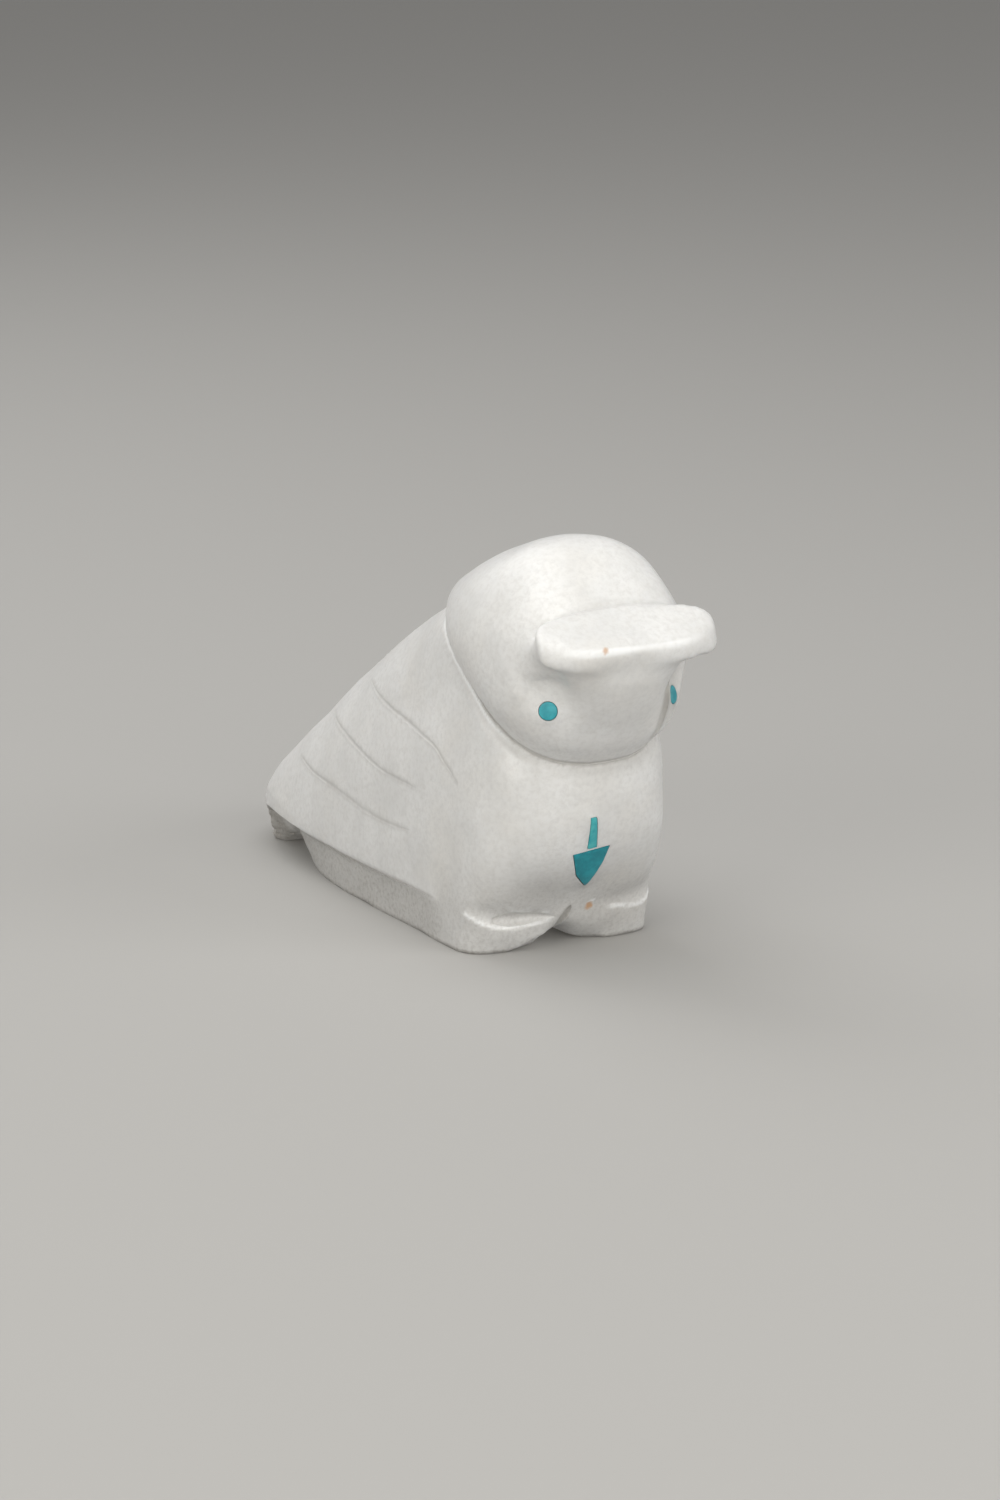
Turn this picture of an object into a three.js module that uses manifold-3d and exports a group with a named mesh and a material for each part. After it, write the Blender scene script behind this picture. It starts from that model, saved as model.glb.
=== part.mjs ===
import * as THREE from 'three';
import { LoftGeometry } from 'three/addons/geometries/LoftGeometry.js';
import { mergeVertices } from 'three/addons/utils/BufferGeometryUtils.js';
import Module from 'manifold-3d';

// A squat stone bird with turquoise inlays, in millimetres.
// It faces -Y and stands on the plane z = 0. Its right side is -X.
// While it is carved, "ahead" is counted forward from the line of its toes,
// "up" from the ground and "side" outwards from its middle plane.
// At the end the whole bird is moved so that the origin is under its middle.

// Finish of the pieces
const STONE_COLOUR = 0xe4e3df;
const STONE_ROUGHNESS = 0.32;
const TURQUOISE_COLOUR = 0x1f98a2;
const TURQUOISE_ROUGHNESS = 0.35;

// Fineness of the facets
const FRONT_POINTS = 11;
const REAR_POINTS = 15;
const OUTLINE_OVERSAMPLING = 12;
const CORNER_CARE = 14;
const TORSO_LEVELS = 19;
const BASE_LEVELS = 4;
const TAIL_LEVELS = 3;
const HEAD_LEVELS = 15;
const NECK_LEVELS = 5;
const BROW_STEPS = 18;
const BROW_SECTION_POINTS = 20;
const NOTCH_ARCH_STEPS = 16;
const HOLLOW_SEGMENTS = 30;
const EYE_SEGMENTS = 12;
const GROOVE_STEPS = 9;
const GROOVE_SIDES = 4;
const MERGE_WITHIN = 1e-4;

// Breast seen from the side: [up, ahead]
const BREAST_PROFILE = [
  [0, 0.5],
  [1.4, 1.3],
  [2.6, 1.7],
  [3.8, 1.9],
  [5.0, 2.5],
  [7.2, 4.1],
  [9.5, 5.7],
  [12.0, 7.0],
  [15.5, 7.9],
  [20.0, 8.5],
  [26.0, 9.0],
  [36.0, 9.0],
];

// Back and tail seen from the side: [up, ahead]
const BACK_PROFILE = [
  [4.3, -54.2],
  [6.6, -53.1],
  [10.0, -49.0],
  [16.0, -41.2],
  [22.0, -33.6],
  [28.0, -24.8],
  [33.0, -15.0],
  [36.0, -7.0],
];

// Half width of feet, wings and shoulders: [up, side]
const WIDTH_PROFILE = [
  [0, 10.7],
  [4.3, 10.8],
  [8.0, 10.8],
  [12.0, 10.8],
  [16.0, 10.6],
  [20.0, 10.1],
  [24.0, 9.4],
  [28.0, 8.9],
  [36.0, 8.2],
];

// Where the body is widest: [up, ahead]
const WIDEST_PROFILE = [
  [0, -6.0],
  [8.0, -4.0],
  [14.0, -3.0],
  [20.0, -3.0],
  [28.0, -1.0],
  [36.0, 0],
];

// Squareness of the body's outline in front and behind, 2 being an ellipse: [up, power]
const FRONT_SQUARENESS = [
  [0, 5.5],
  [3.8, 4.4],
  [7.2, 3.3],
  [12.0, 2.9],
  [17.0, 2.6],
  [22.0, 2.4],
  [36.0, 2.2],
];
const REAR_SQUARENESS = [
  [0, 3.4],
  [6.6, 4.0],
  [14.0, 3.4],
  [24.0, 2.6],
  [36.0, 2.2],
];

// Base, tucked in under the lower edge of the wings
const WING_EDGE_UP = 4.3;
const BASE_TUCK = 0.4;
const BASE_TUCK_START = -6.5;
const BASE_TUCK_RUN = 6.0;
const BASE_SHORT_OF_TAIL = 7.0;
const BASE_REAR_LEAN = 5.6;
const BASE_REAR_SQUARENESS = 4.2;
const BASE_ROOT = 0.8;

// Tip of the tail, which reaches the ground behind the base
const TAIL_TIP_LENGTH = 6.7;
const TAIL_TIP_HALF = 6.8;
const TAIL_TIP_LEAN = 0.8;
const TAIL_ROOT_LENGTH = 14.0;
const TAIL_ROOT_HALF = 8.2;
const TAIL_INSET = 0.05;
const TAIL_TIP_SQUARENESS = 5;

// Notch between the feet, cut deeper into the right foot: [ahead, right end, left end, up, squareness]
const NOTCH_PROFILE = [
  [6.0, 9.4, -9.0, 5.2, 0.7],
  [1.4, 7.6, -6.4, 4.0, 0.66],
  [0.4, 6.2, -4.9, 3.8, 0.66],
  [-0.4, 4.6, -3.8, 3.7, 0.66],
  [-1.0, 2.8, -3.2, 3.5, 0.7],
  [-2.7, 1.6, -2.6, 3.0, 0.9],
  [-6.0, 1.2, -2.4, 2.4, 1.3],
  [-11.0, 0, -1.8, 0.6, 1.6],
];
const NOTCH_APEX_SIDE = -1.4;
const NOTCH_BELOW = 1;

// A place in front of the whole bird, to look back at it from
const WELL_AHEAD = 100;

// Scoops filed over the toes of each foot: [side, up, half height, bite into the foot]
const TOE_SCOOPS = {
  right: [
    [1.5, 3.35, 0.15, 0.1],
    [3.2, 3.5, 0.5, 0.5],
    [5.5, 3.55, 0.75, 0.9],
    [7.2, 3.7, 0.9, 0.9],
    [9.0, 4.1, 1.0, 0.7],
    [10.1, 4.5, 1.0, 0.5],
    [10.6, 4.7, 0.7, 0.2],
  ],
  left: [
    [-1.6, 4.3, 0.2, 0.1],
    [-3.7, 4.35, 0.75, 0.5],
    [-6.0, 4.35, 1.1, 0.7],
    [-8.3, 4.25, 1.2, 0.8],
    [-9.8, 4.6, 1.2, 0.7],
    [-10.5, 4.9, 0.8, 0.3],
  ],
};
const SCOOP_ROUNDNESS = 1.3;
const SCOOP_SIDES = 20;

// Neck plane, from the nape down to under the chin
const NAPE_AHEAD = -13.3;
const NAPE_UP = 33.4;
const CHIN_AHEAD = 8.2;
const CHIN_UP = 20.4;
const HEAD_ROOT = 1.2;

// Lip around the foot of the head, over a cove cut into the shoulders
const NECK_LIP = 0.4;
const NECK_COVE_DEEP = 1.2;
const NECK_COVE_OUT = 2.4;

// Head over the neck plane: [rise, reach forward, reach behind, half width, squareness behind]
const HEAD_PROFILE = [
  [-HEAD_ROOT, 11.6, 11.8, 7.4, 2.9],
  [0, 12.2, 12.4, 8.2, 2.9],
  [0.7, 12.7, 12.9, 9.2, 2.8],
  [2.7, 13.2, 12.8, 10.6, 2.6],
  [5.0, 12.9, 11.7, 11.0, 2.4],
  [7.5, 12.4, 10.3, 10.9, 2.3],
  [10.0, 11.3, 8.7, 10.2, 2.2],
  [12.2, 9.2, 7.0, 8.9, 2.1],
  [13.8, 6.8, 5.7, 7.6, 2.1],
  [14.9, 4.6, 4.5, 6.0, 2.1],
  [15.8, 1.6, 3.3, 3.9, 2.1],
  [16.3, -0.6, 2.2, 1.8, 2.1],
];
const HEAD_FRONT_SQUARENESS = 2.7;
const HEAD_WIDEST_SHARE = 0.54;

// Stem of the face between the eyes: [above the chin, ahead of the chin, half width]
const STEM_PROFILE = [
  [2.1, 1.4, 4.4],
  [4.1, 3.1, 5.0],
  [6.6, 4.7, 5.4],
  [9.6, 6.2, 5.6],
  [11.9, 7.05, 5.8],
  [12.8, 7.0, 5.9],
];
const STEM_ROOT = 6.0;
const STEM_SQUARENESS = 3;

// Bar of the brow, above and ahead of the chin
const BROW_HALF = 10.2;
const BROW_ABOVE_CHIN = 13.3;
const BROW_AHEAD_OF_CHIN = 4.4;
const BROW_DEPTH = 6.4;
const BROW_THICK = 2.9;
const BROW_SLOPE = 30;
const BROW_SWEEP = 0.5;
const BROW_SQUARENESS = 5;
const BROW_END_SQUARENESS = 3.4;
const BROW_END_THIN = 0.85;
const BROW_LEAST = 0.05;

// Hollows scooped around the eyes
const EYE_SIDE = 7.2;
const EYE_ABOVE_CHIN = 6.4;
const EYE_TURN = 40;
const HOLLOW_DEPTH = 0.4;
const HOLLOW_RADIUS = 5.5;
const HOLLOW_WIDE_RIGHT = 8.5;
const HOLLOW_WIDE_LEFT = 6.2;
const HOLLOW_TALL = 7.5;
const HOLLOW_ABOVE_EYE = 1.6;

// Feather lines on each wing: [ahead, up]
const FEATHER_LINES = [
  [
    [-39.5, 11.8],
    [-34.3, 11.3],
    [-27.2, 10.8],
    [-19.0, 10.0],
    [-12.0, 10.3],
  ],
  [
    [-34.2, 17.6],
    [-28.2, 16.7],
    [-22.5, 15.7],
    [-17.0, 15.1],
    [-11.0, 14.9],
  ],
  [
    [-26.3, 22.5],
    [-18.0, 21.4],
    [-11.5, 20.6],
    [-5.8, 19.0],
    [-0.9, 15.8],
    [1.0, 11.8],
  ],
];
const GROOVE_RADIUS = 0.55;
const GROOVE_DEPTH = 0.24;
const GROOVE_FADE = 0.5;

// Inlays, flush in pockets that leave room for glue
const GLUE_GAP = 0.1;
const INLAY_DEPTH = 1.2;
const INLAY_PROUD = 4.0;
const EYE_DIAMETER = 1.8;
const ARROW_LEAN = 8;
const ARROW_TIP_SIDE = -0.4;
const ARROW_TIP_UP = 6.9;
const ARROW_HEAD_LENGTH = 5.0;
const ARROW_HEAD_HALF = 2.0;
const ARROW_FLANKS = { right: [-0.68, 0.42], left: [0.74, 0.62] };
const ARROW_JOINT = 0.35;
const ARROW_SHAFT_LENGTH = 3.7;
const ARROW_SHAFT_WIDTH = 1.0;
const ARROW_SHAFT_TAPER = 0.2;

const wasm = await Module();
wasm.setup();

/** A closed three.js geometry as a solid that can be joined and cut. */
function solidOf(geometry) {
  const bare = new THREE.BufferGeometry();
  bare.setAttribute('position', geometry.getAttribute('position'));
  if (geometry.getIndex()) bare.setIndex(geometry.getIndex());
  const merged = mergeVertices(bare, MERGE_WITHIN);
  return new wasm.Manifold(
    new wasm.Mesh({
      numProp: 3,
      vertProperties: merged.attributes.position.array,
      triVerts: new Uint32Array(merged.index.array),
    }),
  );
}

/** A solid back as a three.js geometry. */
function geometryOf(solid) {
  const mesh = solid.getMesh();
  const geometry = new THREE.BufferGeometry();
  geometry.setAttribute('position', new THREE.BufferAttribute(mesh.vertProperties, 3));
  geometry.setIndex(new THREE.BufferAttribute(mesh.triVerts, 1));
  geometry.computeVertexNormals();
  return geometry;
}

/** A smooth function of a place through rows of [place, values...], giving one of the values. */
function smoothThrough(rows, column = 1) {
  const places = rows.map((row) => row[0]);
  const values = rows.map((row) => row[column]);
  const interpolant = new THREE.CubicInterpolant(places, values, 1);
  return (at) => interpolant.evaluate(at)[0];
}

/** A point from its side, ahead and up. */
function place(side, ahead, up) {
  return new THREE.Vector3(-side, -ahead, up);
}

/** A quarter of a rounded outline from its tip to its widest place, as [side, reach] points. */
function quarter(reach, half, power, count) {
  const exponent = 2 / power;
  const steps = count * OUTLINE_OVERSAMPLING;
  const dense = [];
  for (let i = 0; i <= steps; i++) {
    const angle = (Math.PI * i) / (2 * steps);
    const side = half * Math.sin(angle) ** exponent;
    dense.push(new THREE.Vector2(side, reach * Math.max(Math.cos(angle), 0) ** exponent));
  }
  const turn = (CORNER_CARE * Math.PI) / (2 * steps);
  const run = [0];
  for (let i = 1; i <= steps; i++) run.push(run[i - 1] + dense[i].distanceTo(dense[i - 1]) + turn);
  const spaced = [];
  let k = 1;
  for (let i = 0; i <= count; i++) {
    const target = (run[steps] * i) / count;
    while (k < steps && run[k] < target) k++;
    const share = (target - run[k - 1]) / (run[k] - run[k - 1]);
    spaced.push(dense[k - 1].clone().lerp(dense[k], share));
  }
  return spaced;
}

/** A whole outline as a ring of points, each made by a function of side and ahead. */
function ringOf({ front, rear, half, widest, frontPower, rearPower }, toPoint) {
  const ahead = quarter(front - widest, half, frontPower, FRONT_POINTS);
  const behind = quarter(widest - rear, half, rearPower, REAR_POINTS);
  const right = ahead.map((p) => [p.x, widest + p.y]);
  behind.slice(0, -1).reverse().forEach((p) => right.push([p.x, widest - p.y]));
  const left = right.slice(1, -1).reverse();
  const ring = right.map(([side, at]) => toPoint(side, at));
  left.forEach(([side, at]) => ring.push(toPoint(-side, at)));
  return ring;
}

/** The middle of a ring of points. */
function middleOf(ring) {
  return ring.reduce((sum, p) => sum.add(p), new THREE.Vector3()).divideScalar(ring.length);
}

/** A closed solid skinned over rings, whichever way round their points run. */
function loft(rings) {
  const first = rings[0];
  const middle = middleOf(first);
  const turning = new THREE.Vector3();
  first.forEach((p, i) => {
    const next = first[(i + 1) % first.length];
    turning.add(p.clone().sub(middle).cross(next.clone().sub(middle)));
  });
  const forward = middleOf(rings.at(-1)).sub(middle);
  const sections = turning.dot(forward) > 0 ? rings : rings.map((ring) => [...ring].reverse());
  return solidOf(new LoftGeometry(sections, { capStart: true, capEnd: true }));
}

// Body

const breastAt = smoothThrough(BREAST_PROFILE);
const backAt = smoothThrough(BACK_PROFILE);
const halfAt = smoothThrough(WIDTH_PROFILE);
const widestAt = smoothThrough(WIDEST_PROFILE);
const frontPowerAt = smoothThrough(FRONT_SQUARENESS);
const rearPowerAt = smoothThrough(REAR_SQUARENESS);
const tailEnd = backAt(WING_EDGE_UP);

/** The body's outline at one height. */
function bodyLevel(up) {
  return {
    front: breastAt(up),
    rear: backAt(up),
    half: halfAt(up),
    widest: widestAt(up),
    frontPower: frontPowerAt(up),
    rearPower: rearPowerAt(up),
  };
}

/** Breast, wings, back and tail above the wings' lower edge, up past the neck. */
function makeTorso() {
  const top = NAPE_UP + HEAD_ROOT;
  const rings = [];
  for (let i = 0; i <= TORSO_LEVELS; i++) {
    const up = THREE.MathUtils.lerp(WING_EDGE_UP, top, i / TORSO_LEVELS);
    rings.push(ringOf(bodyLevel(up), (side, ahead) => place(side, ahead, up)));
  }
  return loft(rings);
}

/** Feet and base, flush with the breast in front, tucked in under the wings, rooted in the body. */
function makeBase() {
  const rearTop = tailEnd + BASE_SHORT_OF_TAIL;
  const ringAt = (up, drawnIn) => {
    const level = bodyLevel(up);
    level.rear = rearTop + BASE_REAR_LEAN * (1 - up / WING_EDGE_UP);
    level.rearPower = BASE_REAR_SQUARENESS;
    level.front -= drawnIn;
    level.half -= drawnIn;
    return ringOf(level, (side, ahead) => {
      const tuck = BASE_TUCK * THREE.MathUtils.smoothstep(BASE_TUCK_START - ahead, 0, BASE_TUCK_RUN);
      return place(Math.sign(side) * Math.max(Math.abs(side) - tuck, 0), ahead, up);
    });
  };
  const rings = [];
  for (let i = 0; i <= BASE_LEVELS; i++) rings.push(ringAt((WING_EDGE_UP * i) / BASE_LEVELS, 0));
  rings.push(ringAt(WING_EDGE_UP + BASE_ROOT, BASE_ROOT));
  return loft(rings);
}

/** The stub under the tail that touches the ground, no wider anywhere than the tail above it. */
function makeTailTip() {
  const blockAt = (up) => {
    const share = up / WING_EDGE_UP;
    const rear = tailEnd - TAIL_ROOT_LENGTH;
    const front = tailEnd + THREE.MathUtils.lerp(TAIL_TIP_LENGTH, TAIL_ROOT_LENGTH, share);
    const level = {
      front,
      rear,
      half: THREE.MathUtils.lerp(TAIL_TIP_HALF, TAIL_ROOT_HALF, share),
      widest: (front + rear) / 2,
      frontPower: TAIL_TIP_SQUARENESS,
      rearPower: TAIL_TIP_SQUARENESS,
    };
    return ringOf(level, (side, ahead) => place(side, ahead, up));
  };
  const tailAt = (up, drawnIn) => {
    const level = bodyLevel(WING_EDGE_UP);
    level.half -= drawnIn;
    level.rear += drawnIn;
    return ringOf(level, (side, ahead) => place(side, ahead, up));
  };
  const block = [];
  const tail = [];
  for (let i = 0; i <= TAIL_LEVELS; i++) {
    const up = (WING_EDGE_UP * i) / TAIL_LEVELS;
    block.push(blockAt(up));
    tail.push(tailAt(up, TAIL_INSET + TAIL_TIP_LEAN * (1 - i / TAIL_LEVELS)));
  }
  block.push(blockAt(WING_EDGE_UP + BASE_ROOT));
  tail.push(tailAt(WING_EDGE_UP + BASE_ROOT, BASE_ROOT));
  return loft(block).intersect(loft(tail));
}

/** The arched cutter of the notch between the feet, cusped in front so that the toes are round. */
function makeNotch() {
  const rings = NOTCH_PROFILE.map(([ahead, rightEnd, leftEnd, up, power]) => {
    const ring = [];
    for (let i = 0; i <= NOTCH_ARCH_STEPS; i++) {
      const t = (2 * i) / NOTCH_ARCH_STEPS - 1;
      const end = t < 0 ? leftEnd : rightEnd;
      const side = THREE.MathUtils.lerp(NOTCH_APEX_SIDE, end, Math.abs(t));
      ring.push(place(side, ahead, up * (1 - Math.abs(t) ** power)));
    }
    ring.push(place(rightEnd, ahead, -NOTCH_BELOW));
    ring.push(place(leftEnd, ahead, -NOTCH_BELOW));
    return ring;
  });
  return loft(rings);
}

/** The cutter of one scoop over the toes, like a tapered oval file laid across the foot. */
function makeToeScoop(rows) {
  const rings = rows.map(([side, up, tall, bite]) => {
    const reach = tall * SCOOP_ROUNDNESS;
    const ahead = aheadAt(side, up) + reach - bite;
    const ring = [];
    for (let i = 0; i < SCOOP_SIDES; i++) {
      const angle = (2 * Math.PI * i) / SCOOP_SIDES;
      ring.push(place(side, ahead + reach * Math.cos(angle), up + tall * Math.sin(angle)));
    }
    return ring;
  });
  return loft(rings);
}

/** How much of its reach an outline has left at a share of the way to its other end. */
function remaining(share, power) {
  return (1 - Math.min(Math.abs(share), 1) ** power) ** (1 / power);
}

/** How far ahead the body's front is at a side and a height. */
function aheadAt(side, up) {
  const { front, half, widest, frontPower } = bodyLevel(up);
  return widest + (front - widest) * remaining(side / half, frontPower);
}

/** How far out the body's side is at a place on the wing. */
function sideAt(ahead, up) {
  const level = bodyLevel(up);
  const reach = ahead > level.widest ? level.front - level.widest : level.widest - level.rear;
  const power = ahead > level.widest ? level.frontPower : level.rearPower;
  return level.half * remaining((ahead - level.widest) / reach, power);
}

/** The way out of the body's side at a place on the wing. */
function outAt(ahead, up) {
  const step = 0.1;
  const alongAhead = (sideAt(ahead + step, up) - sideAt(ahead - step, up)) / (2 * step);
  const alongUp = (sideAt(ahead, up + step) - sideAt(ahead, up - step)) / (2 * step);
  return new THREE.Vector3(1, -alongAhead, -alongUp).normalize();
}

/** A four-sided cutter that follows one feather line and runs out at both ends. */
function makeGroove(line, sideSign) {
  const course = new THREE.SplineCurve(line.map(([ahead, up]) => new THREE.Vector2(ahead, up)));
  const points = course.getSpacedPoints(GROOVE_STEPS).map((p, i) => {
    const depth = GROOVE_DEPTH * Math.sin((Math.PI * i) / GROOVE_STEPS) ** GROOVE_FADE;
    const out = outAt(p.x, p.y).multiplyScalar(GROOVE_RADIUS - depth);
    return place(sideSign * (sideAt(p.x, p.y) + out.x), p.x + out.y, p.y + out.z);
  });
  const section = new THREE.Shape();
  for (let i = 0; i < GROOVE_SIDES; i++) {
    const angle = (2 * Math.PI * i) / GROOVE_SIDES;
    const corner = [GROOVE_RADIUS * Math.cos(angle), GROOVE_RADIUS * Math.sin(angle)];
    if (i === 0) section.moveTo(...corner);
    else section.lineTo(...corner);
  }
  return solidOf(
    new THREE.ExtrudeGeometry(section, {
      steps: GROOVE_STEPS,
      extrudePath: new THREE.CatmullRomCurve3(points),
      bevelEnabled: false,
    }),
  );
}

// Head

const neckSlope = Math.atan2(NAPE_UP - CHIN_UP, CHIN_AHEAD - NAPE_AHEAD);
const neckAhead = (NAPE_AHEAD + CHIN_AHEAD) / 2;
const neckUp = (NAPE_UP + CHIN_UP) / 2;

/** A point given in the head's own directions: along the neck plane and above it. */
function onNeck(side, reach, rise) {
  const ahead = neckAhead + reach * Math.cos(neckSlope) + rise * Math.sin(neckSlope);
  const up = neckUp - reach * Math.sin(neckSlope) + rise * Math.cos(neckSlope);
  return place(side, ahead, up);
}

const reachAt = smoothThrough(HEAD_PROFILE, 1);
const behindAt = smoothThrough(HEAD_PROFILE, 2);
const cheekAt = smoothThrough(HEAD_PROFILE, 3);
const headRearPowerAt = smoothThrough(HEAD_PROFILE, 4);

/** The head's outline at one rise, with its sides moved out by a distance. */
function headLevel(rise, out = 0) {
  const front = reachAt(rise) + out;
  const rear = -behindAt(rise) - out;
  return {
    front,
    rear,
    half: cheekAt(rise) + out,
    widest: THREE.MathUtils.lerp(rear, front, HEAD_WIDEST_SHARE),
    frontPower: HEAD_FRONT_SQUARENESS,
    rearPower: headRearPowerAt(rise),
  };
}

/** Everything more than a rise above the neck plane, which may be a negative rise. */
function makeAboveNeck(rise) {
  const span = -2 * tailEnd;
  const box = new THREE.BoxGeometry(span, span, span);
  box.translate(0, 0, span / 2);
  box.rotateX(neckSlope);
  const centre = onNeck(0, 0, rise);
  box.translate(centre.x, centre.y, centre.z);
  return solidOf(box);
}

/** The neck between the cove's walls: narrow at the lip and flaring out below it. */
function makeNeckCore() {
  const rings = [];
  for (let i = -1; i <= NECK_LEVELS; i++) {
    const share = Math.min(1 - i / NECK_LEVELS, 1);
    const out = NECK_LIP + NECK_COVE_OUT * (1 - Math.sqrt(1 - share ** 2));
    const rise = -NECK_COVE_DEEP * (1 - i / NECK_LEVELS);
    rings.push(ringOf(headLevel(0, out), (side, reach) => onNeck(side, reach, rise)));
  }
  return loft(rings);
}

/** The domed head, from its root in the neck to its crown. */
function makeSkull() {
  const crown = HEAD_PROFILE.at(-1)[0];
  const rings = [];
  for (let i = 0; i <= HEAD_LEVELS; i++) {
    const share = Math.sin(((i / HEAD_LEVELS) * Math.PI) / 2);
    const rise = THREE.MathUtils.lerp(-HEAD_ROOT, crown, share);
    rings.push(ringOf(headLevel(rise), (side, reach) => onNeck(side, reach, rise)));
  }
  return loft(rings);
}

/** The stem that runs from the brow down between the eyes. */
function makeStem() {
  const rings = STEM_PROFILE.map(([above, forward, half]) => {
    const level = {
      front: CHIN_AHEAD + forward,
      rear: CHIN_AHEAD - STEM_ROOT,
      half,
      widest: CHIN_AHEAD,
      frontPower: STEM_SQUARENESS,
      rearPower: STEM_SQUARENESS,
    };
    return ringOf(level, (side, ahead) => place(side, ahead, CHIN_UP + above));
  });
  return loft(rings);
}

/** A signed power that keeps a rounded square's corners in all four quarters. */
function squared(value, power) {
  return Math.sign(value) * Math.abs(value) ** (2 / power);
}

/** The bar of the brow: rounded ends, a sloping top and a soft front edge. */
function makeBrow() {
  const slope = THREE.MathUtils.degToRad(BROW_SLOPE);
  const rings = [];
  for (let i = 0; i <= BROW_STEPS; i++) {
    const share = Math.sin(((2 * i) / BROW_STEPS - 1) * (Math.PI / 2));
    const end = Math.sqrt(Math.max(1 - Math.abs(share) ** BROW_END_SQUARENESS, 0));
    const depth = Math.max((BROW_DEPTH / 2) * end, BROW_LEAST);
    const thick = (BROW_THICK / 2) * THREE.MathUtils.lerp(BROW_END_THIN, 1, end);
    const ahead = CHIN_AHEAD + BROW_AHEAD_OF_CHIN - BROW_SWEEP * share ** 2;
    const ring = [];
    for (let j = 0; j < BROW_SECTION_POINTS; j++) {
      const angle = (2 * Math.PI * j) / BROW_SECTION_POINTS;
      const along = depth * squared(Math.cos(angle), BROW_SQUARENESS);
      const high = thick * squared(Math.sin(angle), BROW_SQUARENESS);
      ring.push(
        place(
          BROW_HALF * share,
          ahead + along * Math.cos(slope),
          CHIN_UP + BROW_ABOVE_CHIN - along * Math.sin(slope) + high,
        ),
      );
    }
    rings.push(ring);
  }
  return loft(rings);
}

/** How far ahead a solid reaches on the straight line through a side and a height. */
function frontOf(solid, side, up) {
  const mesh = new THREE.Mesh(geometryOf(solid), new THREE.MeshBasicMaterial());
  const start = place(side, WELL_AHEAD, up);
  const hit = new THREE.Raycaster(start, new THREE.Vector3(0, 1, 0)).intersectObject(mesh)[0];
  return -hit.point.y;
}

/** A hollow around one eye, cut as a burr bites, with the eye's place and facing in it. */
function makeHollow(face, sideSign, wide) {
  const eyeUp = CHIN_UP + EYE_ABOVE_CHIN;
  const eyeAhead = frontOf(face, sideSign * EYE_SIDE, eyeUp) - HOLLOW_DEPTH;
  const turn = THREE.MathUtils.degToRad(EYE_TURN);
  const outwards = place(sideSign * Math.sin(turn), Math.cos(turn), 0);
  const out = HOLLOW_RADIUS * Math.sqrt(1 - (HOLLOW_ABOVE_EYE / HOLLOW_TALL) ** 2);
  const eye = place(sideSign * EYE_SIDE, eyeAhead, eyeUp);
  const centre = eye.clone().addScaledVector(outwards, out);
  centre.z += HOLLOW_ABOVE_EYE;
  const ball = new THREE.SphereGeometry(1, HOLLOW_SEGMENTS, HOLLOW_SEGMENTS / 2);
  ball.rotateX(Math.PI / 2);
  ball.scale(wide, HOLLOW_RADIUS, HOLLOW_TALL);
  ball.rotateZ(-sideSign * turn);
  ball.translate(centre.x, centre.y, centre.z);
  const tilt = (HOLLOW_ABOVE_EYE * HOLLOW_RADIUS ** 2) / HOLLOW_TALL ** 2;
  const facing = outwards.clone().multiplyScalar(out).add(place(0, 0, tilt)).normalize();
  return { cutter: solidOf(ball), eye, facing };
}

// Inlays

/** A shape pushed out along a facing, from a depth under the surface to well proud of it. */
function plug(shape, centre, facing, upward, depth) {
  const geometry = new THREE.ExtrudeGeometry(shape, {
    depth: depth + INLAY_PROUD,
    bevelEnabled: false,
    curveSegments: EYE_SEGMENTS,
  });
  geometry.translate(0, 0, -depth);
  const across = new THREE.Vector3().crossVectors(upward, facing).normalize();
  const along = new THREE.Vector3().crossVectors(facing, across);
  geometry.applyMatrix4(new THREE.Matrix4().makeBasis(across, along, facing).setPosition(centre));
  return solidOf(geometry);
}

/** A round shape. */
function disc(radius) {
  const shape = new THREE.Shape();
  shape.absarc(0, 0, radius, 0, 2 * Math.PI);
  return shape;
}

/** A convex outline, given anticlockwise, with each side moved out by a distance. */
function grown(corners, by) {
  const count = corners.length;
  const moved = corners.map((corner, i) => {
    const before = corner.clone().sub(corners[(i + count - 1) % count]).normalize();
    const after = corners[(i + 1) % count].clone().sub(corner).normalize();
    const sum = new THREE.Vector2(before.y + after.y, -before.x - after.x).normalize();
    return corner.clone().addScaledVector(sum, by / sum.dot(new THREE.Vector2(after.y, -after.x)));
  });
  return new THREE.Shape(moved);
}

/** The plug of an inlay, cut flush with the stone, and the stone with its pocket cut. */
function setInlay(stone, shapeOf, centre, facing, upward) {
  const piece = plug(shapeOf(0), centre, facing, upward, INLAY_DEPTH).intersect(stone.uncut);
  const pocket = plug(shapeOf(GLUE_GAP), centre, facing, upward, INLAY_DEPTH + GLUE_GAP);
  stone.cut = stone.cut.subtract(pocket);
  return piece;
}

/** The arrow's tip on the breast, and the ways out of the breast and up along the arrow. */
function breastFrame(side, up) {
  const top = up + ARROW_HEAD_LENGTH + ARROW_JOINT + ARROW_SHAFT_LENGTH;
  const slope = (breastAt(top) - breastAt(up)) / (top - up);
  const lean = THREE.MathUtils.degToRad(ARROW_LEAN);
  const facing = place(0, 1, -slope).normalize();
  const upward = place(0, slope, 1).normalize().applyAxisAngle(facing, lean);
  return { tip: place(side, breastAt(up), up), facing, upward };
}

/** The corners of the arrow's head, tip down, measured up from the tip, with full flanks. */
function arrowHeadCorners() {
  const flank = ([across, along]) =>
    new THREE.Vector2(across * ARROW_HEAD_HALF, along * ARROW_HEAD_LENGTH);
  return [
    new THREE.Vector2(0, 0),
    flank(ARROW_FLANKS.left),
    new THREE.Vector2(ARROW_HEAD_HALF, ARROW_HEAD_LENGTH),
    new THREE.Vector2(-ARROW_HEAD_HALF, ARROW_HEAD_LENGTH),
    flank(ARROW_FLANKS.right),
  ];
}

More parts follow.
